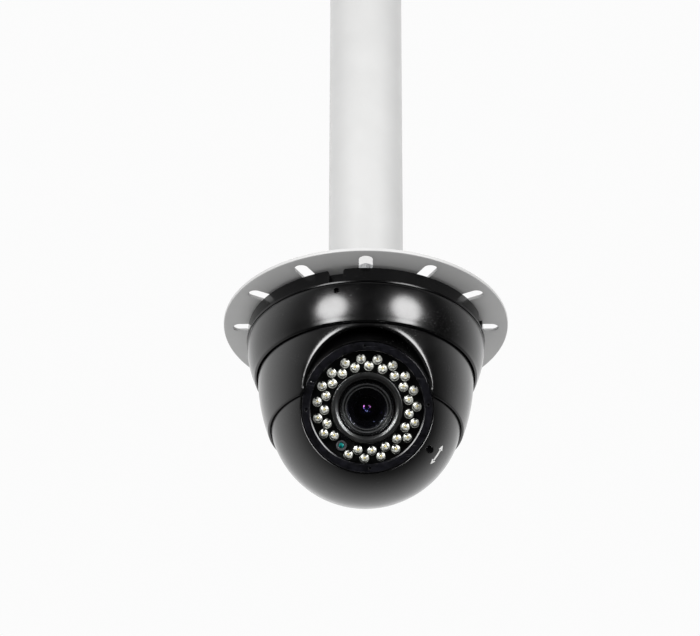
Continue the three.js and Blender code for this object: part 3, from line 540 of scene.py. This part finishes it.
ACETAL = surface("acetal", (0.74, 0.73, 0.68), (0.35, 0.5), tint=0.04, grain=(1800, 0.006))
DARK_PLASTIC = surface("dark_plastic", (0.002, 0.002, 0.0023), (0.24, 0.32), tint=0.2,
                       grain=(2000, 0.003), level=0.35, dust=(0.2, 6, 0.18, 0.06), broad=120)
BOARD_BLACK = surface("board_black", (0.0028, 0.0028, 0.003), (0.3, 0.42), tint=0.3, grain=(2400, 0.005),
                      level=0.15, dust=(0.08, 3, 0.3, 0.2), broad=120)
BOARD_GREEN = surface("board_green", (0.012, 0.075, 0.032), (0.3, 0.45), tint=0.35, grain=(1300, 0.02),
                      dust=((0.6, 0.45, 0.12, 1), 2.6, 0.5, 0.35), broad=420)
# The lamp cores glow, more strongly higher up: painted light in place of the light that their lenses
# gather.
LED_CORE = surface("led_core", (0.62, 0.62, 0.585), (0.15, 0.35), 0.5, tint=0.7, grain=(1300, 0.05),
                   broad=1100, painted_glow=((BALL_CENTRE.z - 42) * MM, (BALL_CENTRE.z + 14) * MM, 0.01, 0.44))
LED_CHIP = surface("led_chip", (0.62, 0.5, 0.2), (0.3, 0.5), 0.2, tint=0.2, grain=(3000, 0.01),
                   broad=900)
CERAMIC = surface("ceramic", (0.05, 0.05, 0.055), (0.3, 0.45), tint=0.25, grain=(2500, 0.01), broad=600)
TEAL_RESIN = surface("teal_resin", (0.0, 0.15, 0.14), (0.12, 0.3), tint=0.8, grain=(2500, 0.01),
                     broad=900)
WHITE_PRINT = surface("white_print", (0.68, 0.68, 0.67), (0.4, 0.55), tint=0.08, grain=(3000, 0.004),
                      broad=900)
WINDOW_CLEAR = clear("window_clear", (0.97, 0.975, 0.975, 1), 0.5, 0.04)
LED_CLEAR = clear("led_clear", (0.99, 0.99, 0.98, 1), 1.0, 0.08, body=0.004)

# -------- ceiling bracket


def set_screw(radius, inner, outer, hex_radius):
    """A grub screw along Z with a hexagon socket in its outer end."""
    blank = rod(radius, inner, outer, SMALL, 0.25)
    return cut(blank, prism(hexagon(hex_radius), outer - 1.4 * hex_radius, outer + OVERCUT))


def grub_holes(boss_radius, height, first):
    """Cutters for the grub screws that clamp the tube, through a boss of this radius."""
    inner, outer = TUBE["outer"] - 0.5, boss_radius + OVERCUT
    return [(rod(GRUB["radius"] + GAP, inner, outer), on_bearing(bearing, height))
            for bearing in bearings(GRUB["count"], first)]


def grub_screws(prefix, place, boss_radius, height, first):
    for i, bearing in enumerate(bearings(GRUB["count"], first)):
        screw = set_screw(GRUB["radius"], TUBE["outer"] + GAP, boss_radius - GRUB["sunk"],
                          GRUB["socket"])
        screw.transform(on_bearing(bearing, height))
        name = f"{prefix}_grub_{i + 1}"
        add_piece(f"{name}_screw", screw, place, ZINC_STEEL, "fixture", [name])


def ceiling_plate():
    radius, thickness = PLATE["radius"], PLATE["thickness"]
    socket_end = -thickness - SOCKET["depth"]
    socket_bore = TUBE["outer"] + GAP
    profile = filleted([
        (CABLE_HOLE, 0, 0.3), (radius, 0, 0.5), (radius, -thickness, 1.2),
        (SOCKET["outer"], -thickness, 1.5), (SOCKET["outer"], socket_end, 0.9),
        (socket_bore, socket_end, 0.3), (socket_bore, -thickness, 0), (CABLE_HOLE, -thickness, 0.3),
    ])
    hole, sink = PLATE["hole"], PLATE["sink"]
    sink_top = sink - hole - thickness
    screw_hole = [(0, OVERCUT), (hole, OVERCUT), (hole, sink_top), (sink, -thickness),
                  (sink + OVERCUT, -thickness - OVERCUT), (0, -thickness - OVERCUT)]
    holes = [(turned(screw_hole, SMALL), around(PLATE["circle"], angle))
             for angle in bearings(4, PLATE["bearing"])]
    height = -thickness - SOCKET["depth"] / 2
    plate = cut(turned(profile, FINE), *holes, *grub_holes(SOCKET["outer"], height, 0))
    add_piece("ceiling_plate_body", plate, ROOM, PALE_PAINT, "fixture", ["ceiling_plate"])
    grub_screws("tube", ROOM, SOCKET["outer"], height, 0)


def pendant_tube():
    low = FLANGE_UNDERSIDE + FLANGE["thickness"] + GAP
    tube = ring(TUBE["inner"], TUBE["outer"], low, -PLATE["thickness"] - GAP, FINE, 0.3)
    add_piece("pendant_tube_body", tube, ROOM, PALE_PAINT, "fixture", ["pendant_tube"])


def mount_flange():
    radius, thickness, collar, collar_top = FLANGE.values()
    bore = TUBE["outer"] + GAP
    profile = filleted([
        (CABLE_HOLE, 0, 0.3), (radius, 0, 0.55), (radius, thickness, 0.55), (collar, thickness, 1.5),
        (collar, collar_top, 0.6), (bore, collar_top, 0.3), (bore, thickness, 0),
        (CABLE_HOLE, thickness, 0.3),
    ])
    outline = stadium(-SLOTS["outer_end"], -SLOTS["inner_end"], SLOTS["width"] / 2 - 0.001)
    slots = [(prism(outline, -0.25, thickness + 0.25, 0.5, 0.5),
              turn_z(bearing))
             for bearing in bearings(SLOTS["count"], SLOTS["bearing"])]
    height = (thickness + collar_top) / 2
    flange = cut(turned(profile, FINE), *slots, *grub_holes(collar, height, 60))
    add_piece("mount_flange_body", flange, HUNG, PALE_PAINT, "fixture", ["mount_flange"])
    grub_screws("flange", HUNG, collar, height, 60)


def mount_bolts():
    count, circle, washer_radius, washer_height, *head_sizes = BOLT.values()
    round_radius, head_height, across, shank, end = head_sizes
    seat = FLANGE["thickness"] + GAP
    low = seat + washer_height
    high = low + head_height
    for i, bearing in enumerate(bearings(count, SLOTS["bearing"])):
        head = turned([(0, low - 0.3), (round_radius, low - 0.3), (round_radius, high - 0.5),
                       (round_radius - 1, high), (0, high)], SMALL)
        head = boolean(head, prism(hexagon(across), low - OVERCUT, high + OVERCUT), "INTERSECT")
        washer = turned(filleted([(0, seat), (washer_radius, seat, 0.3), (washer_radius, low, 0.3),
                                  (0, low)]), SMALL)
        bolt = join(washer, head, rod(shank, end, seat + 0.6, SMALL, 0.4))
        bolt.transform(around(circle, bearing - 90))
        name = f"mount_bolt_{i + 1}"
        add_piece(f"{name}_hex", bolt, HUNG, ZINC_STEEL, "fixture", [name])


ceiling_plate()
pendant_tube()
mount_flange()
mount_bolts()

# -------- camera base and cover ring


def cover_radius(height):
    reach = height - COVER_ARC["centre"]
    return COVER_ARC["crown"] - COVER_ARC["radius"] + sqrt(COVER_ARC["radius"] ** 2 - reach ** 2)


def cover_screw_holes(inner, outer):
    """Cutters for the cover's set screws between two radii."""
    return [(rod(COVER_SCREW["radius"] + GAP, inner, outer), on_bearing(bearing, COVER_SCREW["height"]))
            for bearing in bearings(COVER_SCREW["count"], COVER_SCREW["bearing"])]


def camera_base():
    radius, top, floor, bottom, lip, lean, opening, inside = BASE.values()
    profile = filleted([
        (opening, top, 0.4), (radius, top, 0.6), (radius, bottom + 1.3, 0.2), (lip, bottom + 1.05, 0.15),
        (lip - lean, bottom, 0.15), (SPIGOT["radius"], bottom, 0.1),
        (SPIGOT["radius"], SPIGOT["bottom"], 0.4), (inside, SPIGOT["bottom"], 0.3),
        (inside, floor, 0.8), (opening, floor, 0.4),
    ])
    places = [around(BOLT["circle"], bearing - 90)
              for bearing in bearings(BOLT["count"], SLOTS["bearing"])]
    bosses = [(rod(BOSS["radius"], BOSS["end"], floor + 1, SMALL, 0.3), place) for place in places]
    holes = [(rod(BOLT["shank"] + GAP, BOSS["hole_end"], OVERCUT), place) for place in places]
    half, mouth, corner = NOTCH["width"] / 2, NOTCH["bottom"], NOTCH["corner"]
    flare, reach = NOTCH["flare"], NOTCH["reach"]
    notch_outline = (
        [(-half, mouth + corner), (-half + corner, mouth), (half - corner, mouth),
         (half, mouth + corner)]
        + arc_points((half + flare, top - flare), flare, 180, 90, 15)
        + [(half + flare, reach), (-half - flare, reach)]
        + arc_points((-half - flare, top - flare), flare, 90, 0, 15)
    )
    notches = [(prism(notch_outline, NOTCH["inner_face"], lip + 2), on_bearing(bearing))
               for bearing in bearings(NOTCH["count"], NOTCH["bearing"])]
    groove = ring(SEAL_GROOVE["radius"], SPIGOT["radius"] + OVERCUT, SEAL_GROOVE["bottom"],
                  SEAL_GROOVE["top"], FINE, 0.1)
    screw_holes = cover_screw_holes(COVER_SCREW["tip"] - GAP, radius)
    body = cut(join(turned(profile, FINE), *bosses), *holes, *notches, groove, *screw_holes)
    add_piece("camera_base_body", body, HUNG, MATT_BLACK, "fixture", ["camera_base"])


def cover_ring():
    top, bore, rim, rim_height, lip_bore, ledge, pocket = COVER.values()
    steps = 16
    first, last = top - 0.9, rim_height + 1.9
    heights = [first + (last - first) * i / steps for i in range(steps + 1)]
    profile = filleted([
        (bore, top, 0.2), (cover_radius(top) - 0.15, top, 0.45),
        *[(cover_radius(height), height) for height in heights],
        (rim + 1.05, rim_height + 0.75, 0.5), (rim, rim_height, 0.35), (lip_bore, rim_height + 0.5, 0.1),
        (lip_bore, ledge, 0.2), (pocket, ledge, 0.2), (pocket, SPIGOT["bottom"] - 0.6, 0),
        (bore, SPIGOT["bottom"], 0),
    ])
    cover = cut(turned(profile, FINE), *cover_screw_holes(bore - OVERCUT, BASE["radius"] + 2))
    add_piece("cover_ring_body", cover, HUNG, SATIN_BLACK, "fixture", ["cover_ring"])
    for i, bearing in enumerate(bearings(COVER_SCREW["count"], COVER_SCREW["bearing"])):
        screw = set_screw(COVER_SCREW["radius"], COVER_SCREW["tip"], COVER_SCREW["head"],
                          COVER_SCREW["socket"])
        screw.transform(on_bearing(bearing, COVER_SCREW["height"]))
        name = f"cover_screw_{i + 1}"
        add_piece(f"{name}_set", screw, HUNG, BLACK_SCREW, "fixture", [name])


camera_base()
cover_ring()

# -------- pan shell


def pan_radius(height):
    return PAN_ARC["offset"] + sqrt(PAN_ARC["radius"] ** 2 - (height - PAN_ARC["centre"]) ** 2)


def seat_radius(height):
    """The pan shell's inside radius at a height."""
    upper, upper_end, lower, lower_end = PAN_BORE.values()
    from_centre = height - BALL_HEIGHT
    if height >= upper_end:
        return upper
    if height >= lower_end:
        return lower + (upper - lower) * (height - lower_end) / (upper_end - lower_end)
    if from_centre >= 0:
        return SEAT["high"] + (lower - SEAT["high"]) * from_centre / (lower_end - BALL_HEIGHT)
    radius = SEAT["high"] if from_centre > SEAT["step"] else SEAT["low"]
    return sqrt(radius ** 2 - from_centre ** 2)


def bisect(low, high, is_low):
    """The highest value between two that still counts as low."""
    for _ in range(40):
        middle = (low + high) / 2
        if is_low(middle):
            low = middle
        else:
            high = middle
    return low


def arch_point(angle):
    """Bearing and height of the arch's edge on the shell, at an angle round the arch from the right."""
    pitch, radius = radians(ARCH["pitch"]), ARCH["radius"]
    across, up = radius * cos(angle), radius * sin(angle)

    def place(far):
        return (-up * sin(pitch) - far * cos(pitch), BALL_HEIGHT + up * cos(pitch) - far * sin(pitch))

    def inside(far):
        y, z = place(far)
        return hypot(across, y) <= pan_radius(z)

    y, z = place(bisect(20.0, 100.0, inside))
    return atan2(across, -y), z


def lower_edge():
    """The shell's lower edge as (bearing, height) pairs all the way round, starting at the back."""
    corner = ARCH["corner"]
    start = PAN_RIM + corner
    low = bisect(0.0, pi / 2, lambda angle: arch_point(angle)[1] < start)
    side_bearing = arch_point(low)[0]
    per_mm = 1 / pan_radius(PAN_RIM)
    straight, bend, arch = 72, 9, 60
    right = [(pi - (pi - side_bearing - corner * per_mm) * i / straight, PAN_RIM)
             for i in range(straight)]
    for i in range(bend):
        turn = radians(90 * i / bend)
        right.append((side_bearing + corner * per_mm * (1 - sin(turn)),
                      PAN_RIM + corner * (1 - cos(turn))))
    right += [arch_point(low + (pi / 2 - low) * i / arch) for i in range(arch)]
    left = [(-bearing, height) for bearing, height in reversed(right)]
    return right + [arch_point(pi / 2)] + left[:-1]


def on_shell(bearing, height, radius):
    return Vector((radius * sin(bearing), -radius * cos(bearing), height))


def shell_normal(bearing, height):
    above = height - PAN_ARC["centre"]
    slope = above / sqrt(PAN_ARC["radius"] ** 2 - above ** 2)
    return Vector((sin(bearing), -cos(bearing), slope)).normalized()


def pan_shell():
    edge = lower_edge()
    count = len(edge)
    points = [on_shell(bearing, height, pan_radius(height)) for bearing, height in edge]
    radius, top, bottom, rounding = PAN_FLANGE.values()
    collar = [(PAN_BORE["upper"], top), (radius - rounding, top), (radius, top - rounding),
              (radius, bottom + rounding), (radius - rounding, bottom), (PAN_NECK, bottom)]
    first = bottom - 2
    bm = bmesh.new()
    columns = []
    for i, (bearing, height) in enumerate(edge):
        normal = shell_normal(bearing, height)
        tangent = (points[(i + 1) % count] - points[i - 1]).normalized()
        outward = normal.cross(tangent).normalized()
        thickness = (pan_radius(height) - seat_radius(height)) * 0.98
        depth = min(ARCH["depth"], 0.62 * thickness)
        rise = min(1, max(0, (height - PAN_RIM - ARCH["fade_low"]) / ARCH["fade_height"]))
        width = depth + (ARCH["roll"] - depth) * rise * rise * (3 - 2 * rise)
        start = points[i] - outward * width
        top_bearing = atan2(start.x, -start.y)
        start = on_shell(top_bearing, start.z, pan_radius(start.z))
        face = shell_normal(top_bearing, start.z)
        along = points[i] - start
        along -= face * along.dot(face)
        column = [on_shell(top_bearing, level, reach) for reach, level in collar]
        for k in range(20):
            level = first + (start.z - first) * (k / 20)
            reach = min(PAN_NECK, pan_radius(min(level, PAN_ARC["centre"])))
            column.append(on_shell(top_bearing, level, reach))
        for k in range(10):
            turn = radians(10 * k)
            column.append(start + along * sin(turn) - face * depth * (1 - cos(turn)))
        inner = points[i] - normal * thickness
        column.append(inner)
        inner_bearing = atan2(inner.x, -inner.y)
        for k in range(1, 20):
            level = inner.z + (first - inner.z) * (k / 20)
            column.append(on_shell(inner_bearing, level, seat_radius(level)))
        columns.append([bm.verts.new(p) for p in column])
    rows = len(columns[0])
    for i in range(count):
        near, far = columns[i], columns[(i + 1) % count]
        for k in range(rows):
            bm.faces.new((near[k], far[k], far[(k + 1) % rows], near[(k + 1) % rows]))
    bmesh.ops.recalc_face_normals(bm, faces=bm.faces)
    pin_holes = [(rod(TILT_PIN["radius"] + GAP, BALL_RADIUS, TILT_PIN["outer"] + GAP),
                  on_bearing(bearing, BALL_HEIGHT)) for bearing in (90, -90)]
    shell = cut(bm, *pin_holes)
    add_piece("pan_shell_body", shell, HUNG, SATIN_BLACK, "pan_head", ["pan_shell"])
    for name, bearing in (("tilt_pin_left", -90), ("tilt_pin_right", 90)):
        pin = rod(TILT_PIN["radius"], TILT_PIN["inner"], TILT_PIN["outer"], SMALL, 0.3)
        pin.transform(on_bearing(bearing, BALL_HEIGHT))
        add_piece(f"{name}_rod", pin, HUNG, ZINC_STEEL, "pan_head", [name])


pan_shell()

# -------- ball


def meridian(radius, low, high, steps):
    """Profile points on a sphere between two heights."""
    start, end = asin(low / radius), asin(high / radius)
    angles = [start + (end - start) * i / steps for i in range(steps + 1)]
    return [(radius * cos(a), radius * sin(a)) for a in angles]


def ball_front():
    inside = BALL_RADIUS - WALL
    lip_height = sqrt(BALL_RADIUS ** 2 - SHELF["lip"] ** 2)
    shelf_bottom = SHELF["top"] - SHELF["thickness"]
    lip, lip_end = SHELF["radius"] + SHELF["lip_width"], lip_height - BEVEL["slope"] * SHELF["lip_width"]
    profile = filleted([
        (BALL_RADIUS - 0.5, SPLIT, 0), (BALL_RADIUS - 0.15, SPLIT + 0.15, 0),
        *meridian(BALL_RADIUS, SPLIT + 0.6, lip_height, 60),
        (lip, lip_height, 0.06), (SHELF["radius"], lip_end, 0.06), (SHELF["radius"], SHELF["top"], 0.2),
        (SHELF["bore"], SHELF["top"], 0.2), (SHELF["bore"], shelf_bottom, 0.2),
        *meridian(inside, shelf_bottom, SPLIT, 24),
    ])
    post_places = [around(POST["circle"], angle) for angle in POST["angles"]]
    screw_places = [around(BALL_SCREW["circle"], angle) for angle in BALL_SCREW["angles"]]
    posts = [(rod(POST["radius"], POST["low"], POST["high"]), place) for place in post_places]
    bosses = [(rod(BALL_SCREW["boss"], SPLIT, BALL_SCREW["boss_top"]), place) for place in screw_places]
    post_holes = [(rod(POST["hole"], POST["hole_low"], POST["hole_high"], COARSE), place)
                  for place in post_places]
    screw_holes = [(rod(BALL_SCREW["hole"], SPLIT - OVERCUT, BALL_SCREW["hole_top"], COARSE), place)
                   for place in screw_places]
    adjusters = [(rod(ADJUSTER["hole"], ADJUSTER["low"], ADJUSTER["high"]),
                  around(ADJUSTER["circle"], angle)) for angle in ADJUSTER["angles"]]
    shell = join(turned(profile, FINE), *posts, *bosses)
    shell = cut(shell, *post_holes, *screw_holes, *adjusters)
    add_piece("ball_front_shell", shell, BALL, SATIN_BLACK, "ball", ["ball_front"])


def ball_rear():
    radius, back, wall = REAR.values()
    edge = SPLIT - GAP
    outer, inner, end = JOURNAL.values()
    profile = filleted([
        *meridian(radius, edge, back, 30), (outer, back, 0.5), (outer, end, 0.5), (inner, end, 0.3),
        (inner, back + wall, 0.3), *meridian(radius - wall - 0.2, back + wall, edge, 20),
    ])
    add_piece("ball_rear_shell", turned(profile, FINE), BALL, SATIN_BLACK, "ball", ["ball_rear"])


def bezel_ring():
    outer, inner, top, bottom = BEZEL.values()
    width, slope = BEVEL.values()
    profile = filleted([
        (inner, bottom, 0.2), (outer, bottom, 0.2), (outer, top, 0.3), (inner + width, top, 0.15),
        (inner, top - slope * width, 0.1),
    ])
    circle, radius, depth, turn, sides = BEZEL_HOLE.values()
    pins = [(rod(radius, top - depth, top + OVERCUT, sides), around(circle, angle))
            for angle in bearings(4, turn)]
    bezel = cut(turned(profile, FINE), *pins)
    add_piece("bezel_ring_body", bezel, BALL, BEZEL_BLACK, "ball", ["bezel_ring"])


def window():
    pane = rod(WINDOW["radius"], WINDOW["bottom"], WINDOW["top"], FINE, 0.15)
    add_piece("front_window_pane", pane, BALL, WINDOW_CLEAR, "ball", ["front_window"])


def focus_mark():
    """A printed double-ended arrow beside the focus hole, as a thin skin on the ball."""
    circle, middle, length, line, head, head_length, print_height, tip = MARK.values()
    half = length / 2
    steps = 8
    arrow = [(half - head_length * k / steps, tip + (head - tip) * k / steps) for k in range(steps + 1)]
    neck = half - head_length
    shaft = [(neck - tip - neck * k / steps, line) for k in range(steps)]
    stations = [(-along, reach) for along, reach in arrow + shaft] + [(0, line)] + (arrow + shaft)[::-1]
    rows = []
    for along, reach in stations:
        angle = radians(middle) + along / circle
        row = []
        for across, lift in ((-reach, -print_height), (reach, -print_height), (reach, print_height),
                             (-reach, print_height)):
            flat = circle + across
            rise = sqrt(BALL_RADIUS ** 2 - flat ** 2) + lift
            row.append((flat * cos(angle), flat * sin(angle), rise))
        rows.append(row)
    add_piece("focus_mark_print", skin(rows), BALL, WHITE_PRINT, "ball")


ball_front()
focus_mark()
ball_rear()
bezel_ring()
window()

# -------- lamps, photocell and their board


def led_places():
    for circle in LED_CIRCLES:
        for place, turn in enumerate(bearings(LED["per_turn"])):
            if place != circle["missing"]:
                yield around(circle["circle"], circle["start"] - turn)


def crescent(radius, height, middle, half_span, thickness):
    """A thin bent rod with tapered ends, lying on a circle about Z."""
    rows = []
    steps, sides = 10, 6
    for i in range(steps + 1):
        angle = radians(middle + half_span * (2 * i / steps - 1))
        girth = thickness * (0.15 + 0.85 * sin(pi * i / steps))
        row = []
        for k in range(sides):
            turn = 2 * pi * k / sides
            reach = radius + girth * cos(turn)
            row.append((reach * cos(angle), reach * sin(angle), height + girth * sin(turn)))
        rows.append(row)
    return skin(rows)


def lamps():
    base, body, radius, rim, core = (LED[key] for key in ("base", "body", "radius", "rim", "core"))
    dome = [(radius * cos(radians(a)), body + radius * sin(radians(a))) for a in range(10, 90, 10)]
    lens = [(0, base), (rim, base), (rim, base + 1), (radius, base + 1), (radius, body), *dome,
            (0, body + radius)]
    cup = [(0, base + 0.1), (rim - 0.15, base + 0.1), (rim - 0.15, base + 0.85), (core, base + 0.95),
           (core, body - 0.9), (core - 0.25, body - 0.75), (core - 0.25, body - 0.45),
           (core, body - 0.3),
           (core, body + 0.1), (core - 0.1, body + 0.4), (core - 0.6, body + 0.75), (0.95, body + 0.85),
           (0.7, body + 0.6), (0, body + 0.6)]
    chip = [(0, body + 0.65), (0.55, body + 0.65), (0.55, body + 0.8), (0.25, body + 0.95),
            (0, body + 0.95)]

    # a dark crescent of painted shadow over each core
    def shadow(kind):
        return crescent(core - kind["in"], body + kind["up"], kind["middle"], kind["half_span"],
                        kind["thickness"])

    for name, shape, material, nodes, slot in (
        ("led_lenses", lambda: turned(lens, LAMP), LED_CLEAR, ["led_array"], "clear_epoxy"),
        ("led_cores", lambda: turned(cup, LAMP), LED_CORE, [], "clear_epoxy"),
        ("led_chips", lambda: turned(chip, COARSE), LED_CHIP, [], "clear_epoxy"),
        ("led_gap_shadows", lambda: shadow(LED_GAP_SHADOW), DARK_PLASTIC, [], "dark_plastic"),
        ("led_post_shadows", lambda: shadow(LED_POST_SHADOW), DARK_PLASTIC, [], "dark_plastic"),
    ):
        parts = []
        for number, place in enumerate(led_places()):
            turn = turn_z(LED_TURN["most"] * sin(LED_TURN["step"] * number))
            centre = Matrix.Translation(place.to_translation())
            parts.append((shape(), centre @ turn))
        add_piece(name, gather(*parts), BALL, material, "ball", nodes)


def photocell():
    low, top, radius = LED_BOARD["top"] + GAP, PHOTOCELL["top"], PHOTOCELL["radius"]
    place = around(PHOTOCELL["circle"], PHOTOCELL["angle"])
    pane = PHOTOCELL["window"]
    can = filleted([(0, low), (radius, low, 0.2), (radius, top, 0.35), (pane + 0.35, top, 0.2),
                    (pane, top - 0.9), (0, top - 0.9)])
    add_piece("photocell_can", turned(can, SMALL), BALL @ place, CERAMIC, "ball", ["photocell"])
    face = [(0, top - 0.85), (pane - 0.1, top - 0.85), (pane - 0.3, top - 0.5), (0.6, top - 0.3),
            (0, top - 0.25)]
    add_piece("photocell_face", turned(face, SMALL), BALL @ place, TEAL_RESIN, "ball", [])


def led_board():
    outer, inner, top, bottom = LED_BOARD.values()
    board = ring(inner, outer, bottom, top, MEDIUM, 0.1)
    add_piece("led_board_disc", board, BALL, BOARD_BLACK, "ball", ["led_board"])


lamps()
photocell()
led_board()

# -------- lens


def coated(name, tint, rough, ior):
    """Dark lens glass whose coating tints what it reflects."""
    material, tree, output, coords = new_material(name)
    roughness = mapped(tree, noise_of(tree, coords, 300, 3.0), 0.3, 0.7, rough * 0.7, rough * 1.4)
    shade = mixed(tree, noise_of(tree, coords, 120), grey(0.0006), grey(0.0014))
    bump = bump_of(tree, noise_of(tree, coords, 900), 0.0002)
    inputs = {"Base Color": shade, "Roughness": roughness, "Normal": bump,
              "Specular Tint": tint, "IOR": ior}
    shader = add_node(tree, "BsdfPrincipled", inputs)
    tree.links.new(shader.outputs[0], output.inputs["Surface"])
    return material


def lens():
    outer, crest, mouth, bore, top, throat, bottom = SHROUD.values()
    shroud = filleted([
        (bore, bottom, 0.2), (outer, bottom, 0.2), (outer, top, 0.5), (crest, top, 1.2),
        (mouth, top - (crest - mouth) * BEVEL["slope"], 0.4), (bore, throat, 0.3),
    ])
    add_piece("lens_shroud_body", turned(shroud, MEDIUM), BALL, SHROUD_RUBBER, "ball", ["lens_shroud"])
    radius, barrel_top, rear, spigot, end = BARREL.values()
    steps = [(step, barrel_top + rise, fillet) for step, rise, fillet in BARREL_STEPS]
    barrel = filleted([(0, end), (spigot, end, 0.3), (spigot, rear, 0), (radius, rear, 0.3),
                       (radius, barrel_top - 0.5, 0.2), *steps, (0, steps[-1][1])])
    add_piece("lens_barrel_body", turned(barrel, MEDIUM), BALL, DARK_PLASTIC, "ball", ["lens_barrel"])
    for name, inner, outer, rise in TRIM_RINGS:
        low = barrel_top + rise
        trim = ring(inner, outer, low, low + TRIM_HEIGHT, MEDIUM, 0.15)
        add_piece(name, trim, BALL, TRIM_GREY, "ball", [])
    edge, low, edge_top, crown = FRONT_GLASS.values()
    sag = crown - edge_top
    curve = (edge ** 2 + sag ** 2) / (2 * sag)
    rings = 12
    radii = [edge * (1 - i / rings) for i in range(rings)]
    front = [(r, crown - curve + sqrt(curve ** 2 - r ** 2)) for r in radii]
    glass = [(0, low), (edge, low), *front, (0, crown)]
    add_piece("lens_front_element", turned(glass, MEDIUM), BALL, LENS_CLEAR, "ball",
              ["lens_front_glass"])
    for number, (radius, base, sideways, material) in enumerate(ELEMENTS):
        arc = arc_points((0, base), radius, 0, 90, 6)
        bead = turned([(0, base), *arc[:-1], (0, base + radius)], SMALL)
        bead.transform(Matrix.Translation((0, sideways, 0)))
        add_piece(f"lens_element_{number + 2}", bead, BALL, material, "ball", [])


TRIM_GREY = surface("trim_grey", (0.03, 0.03, 0.031), (0.3, 0.4), tint=0.2, grain=(1500, 0.003),
                    broad=120)
LENS_CLEAR = clear("lens_clear", (0.75, 0.75, 0.8, 1), 0.25, 0.02)
COAT_ROSE = coated("coat_rose", (1.0, 0.32, 0.8, 1), 0.03, 2.0)
COAT_VIOLET = coated("coat_violet", (0.3, 0.2, 1.0, 1), 0.03, 2.3)
COAT_BLUE = coated("coat_blue", (0.55, 0.62, 1.0, 1), 0.03, 2.6)
ELEMENTS = (  # radius, base height, sideways, coating; each is seen only beyond the next one's edge
    (6.0, 17.9, 0.35, COAT_ROSE),
    (4.6, 19.52, -0.4, COAT_VIOLET),
    (2.0, 22.45, -1.5, COAT_BLUE),
)
lens()

# -------- CAD nodes that stay

KEPT = (
    (RUBBER, "mount_gasket base_seal pan_friction_ring ball_seal cable_grommet window_gasket"),
    (ACETAL, "pan_slip_ring roll_washer focus_gear zoom_gear"),
    (ZINC_STEEL, "tilt_yoke roll_nut chassis_plate rear_plate"),
    (ZINC_STEEL, "chassis_screw_1 chassis_screw_2 chassis_screw_3 chassis_screw_4"),
    (BLACK_SCREW, "focus_screw zoom_screw ball_screw_1 ball_screw_2 ball_screw_3"),
    (DARK_PLASTIC, "lens_mount"),
    (BOARD_GREEN, "sensor_board main_board"),
    (TEAL_RESIN, "image_sensor"),
)
for material, node in ((material, node) for material, nodes in KEPT for node in nodes.split()):
    mesh = frame["nodes"][node].data
    mesh.materials.clear()
    mesh.materials.append(material)

# -------- camera, light and stage


def stage_floor():
    bm = bmesh.new()
    bmesh.ops.create_grid(bm, x_segments=2, y_segments=2, size=FLOOR["half_size"])
    mesh = bpy.data.meshes.new("floor")
    bm.to_mesh(mesh)
    bm.free()
    mesh.materials.append(surface("floor_paint", (0.82, 0.82, 0.82), (0.7, 0.8), tint=0.01,
                                  grain=(60, 0.2), broad=0.6))
    floor = bpy.data.objects.new("floor", mesh)
    floor.location.z = FLOOR["height"]
    floor.visible_glossy = False
    floor.visible_diffuse = False
    link(floor)


def studio_world():
    """White as seen by the camera. As light it is bright behind, dim in front, and fills from below."""
    world = bpy.data.worlds.new("studio")
    world.use_nodes = True
    tree = world.node_tree
    tree.nodes.clear()
    direction = add_node(tree, "TexCoord").outputs["Generated"]
    facing = add_node(tree, "VectorMath", {0: direction, 1: WORLD["behind"]},
                      operation="DOT_PRODUCT").outputs["Value"]
    height = add_node(tree, "SeparateXYZ", {"Vector": direction}).outputs["Z"]
    path = add_node(tree, "LightPath").outputs
    below = mapped(tree, height, 0.0, WORLD["fill_full"], 0.0, WORLD["fill"])
    fill = maths(tree, "MULTIPLY", below, path["Is Diffuse Ray"])
    inputs = {"Value": facing, "From Min": WORLD["dim_at"], "From Max": WORLD["bright_at"],
              "To Min": WORLD["dim"], "To Max": WORLD["bright"]}
    strength = add_node(tree, "MapRange", inputs, interpolation_type="SMOOTHSTEP").outputs["Result"]
    light = add_node(tree, "Background",
                     {"Color": grey(1), "Strength": maths(tree, "ADD", strength, fill)})
    seen = add_node(tree, "Background", {"Color": grey(1), "Strength": WORLD["seen"]})
    both = add_node(tree, "MixShader", {0: path["Is Camera Ray"], 1: light.outputs[0],
                                                  2: seen.outputs[0]})
    output = add_node(tree, "OutputWorld")
    tree.links.new(both.outputs[0], output.inputs["Surface"])
    bpy.context.scene.world = world


def softbox(name, bearing, elevation, power):
    """A round softbox on a bearing and at an elevation, both in degrees, as seen from the cover ring."""
    target = Vector((*SOFTBOX["target"], FLANGE_UNDERSIDE * MM - SOFTBOX["below_flange"]))
    turn, rise = radians(bearing), radians(elevation)
    level = cos(rise)
    direction = Vector((level * sin(turn), -level * cos(turn), sin(rise)))
    data = bpy.data.lights.new(name, "AREA")
    data.shape = "DISK"
    data.size = SOFTBOX["size"]
    data.energy = power
    lamp = bpy.data.objects.new(name, data)
    lamp.location = target + direction * SOFTBOX["distance"]
    lamp.rotation_euler = (-direction).to_track_quat("-Z", "Y").to_euler()
    link(lamp)


def camera():
    data = bpy.data.cameras.new("camera")
    data.sensor_width = CAMERA["sensor"]
    data.lens = CAMERA["focal"]
    data.shift_x = CAMERA["shift"]
    eye = bpy.data.objects.new("camera", data)
    eye.location = (*CAMERA["eye"], FLANGE_UNDERSIDE * MM - CAMERA["below_flange"])
    eye.rotation_euler = (radians(CAMERA["tilt"]), 0, radians(CAMERA["turn"]))
    link(eye)
    bpy.context.scene.camera = eye


stage_floor()
studio_world()
for settings in SOFTBOXES:
    softbox(*settings)
camera()
bpy.context.scene.view_settings.view_transform = "Standard"
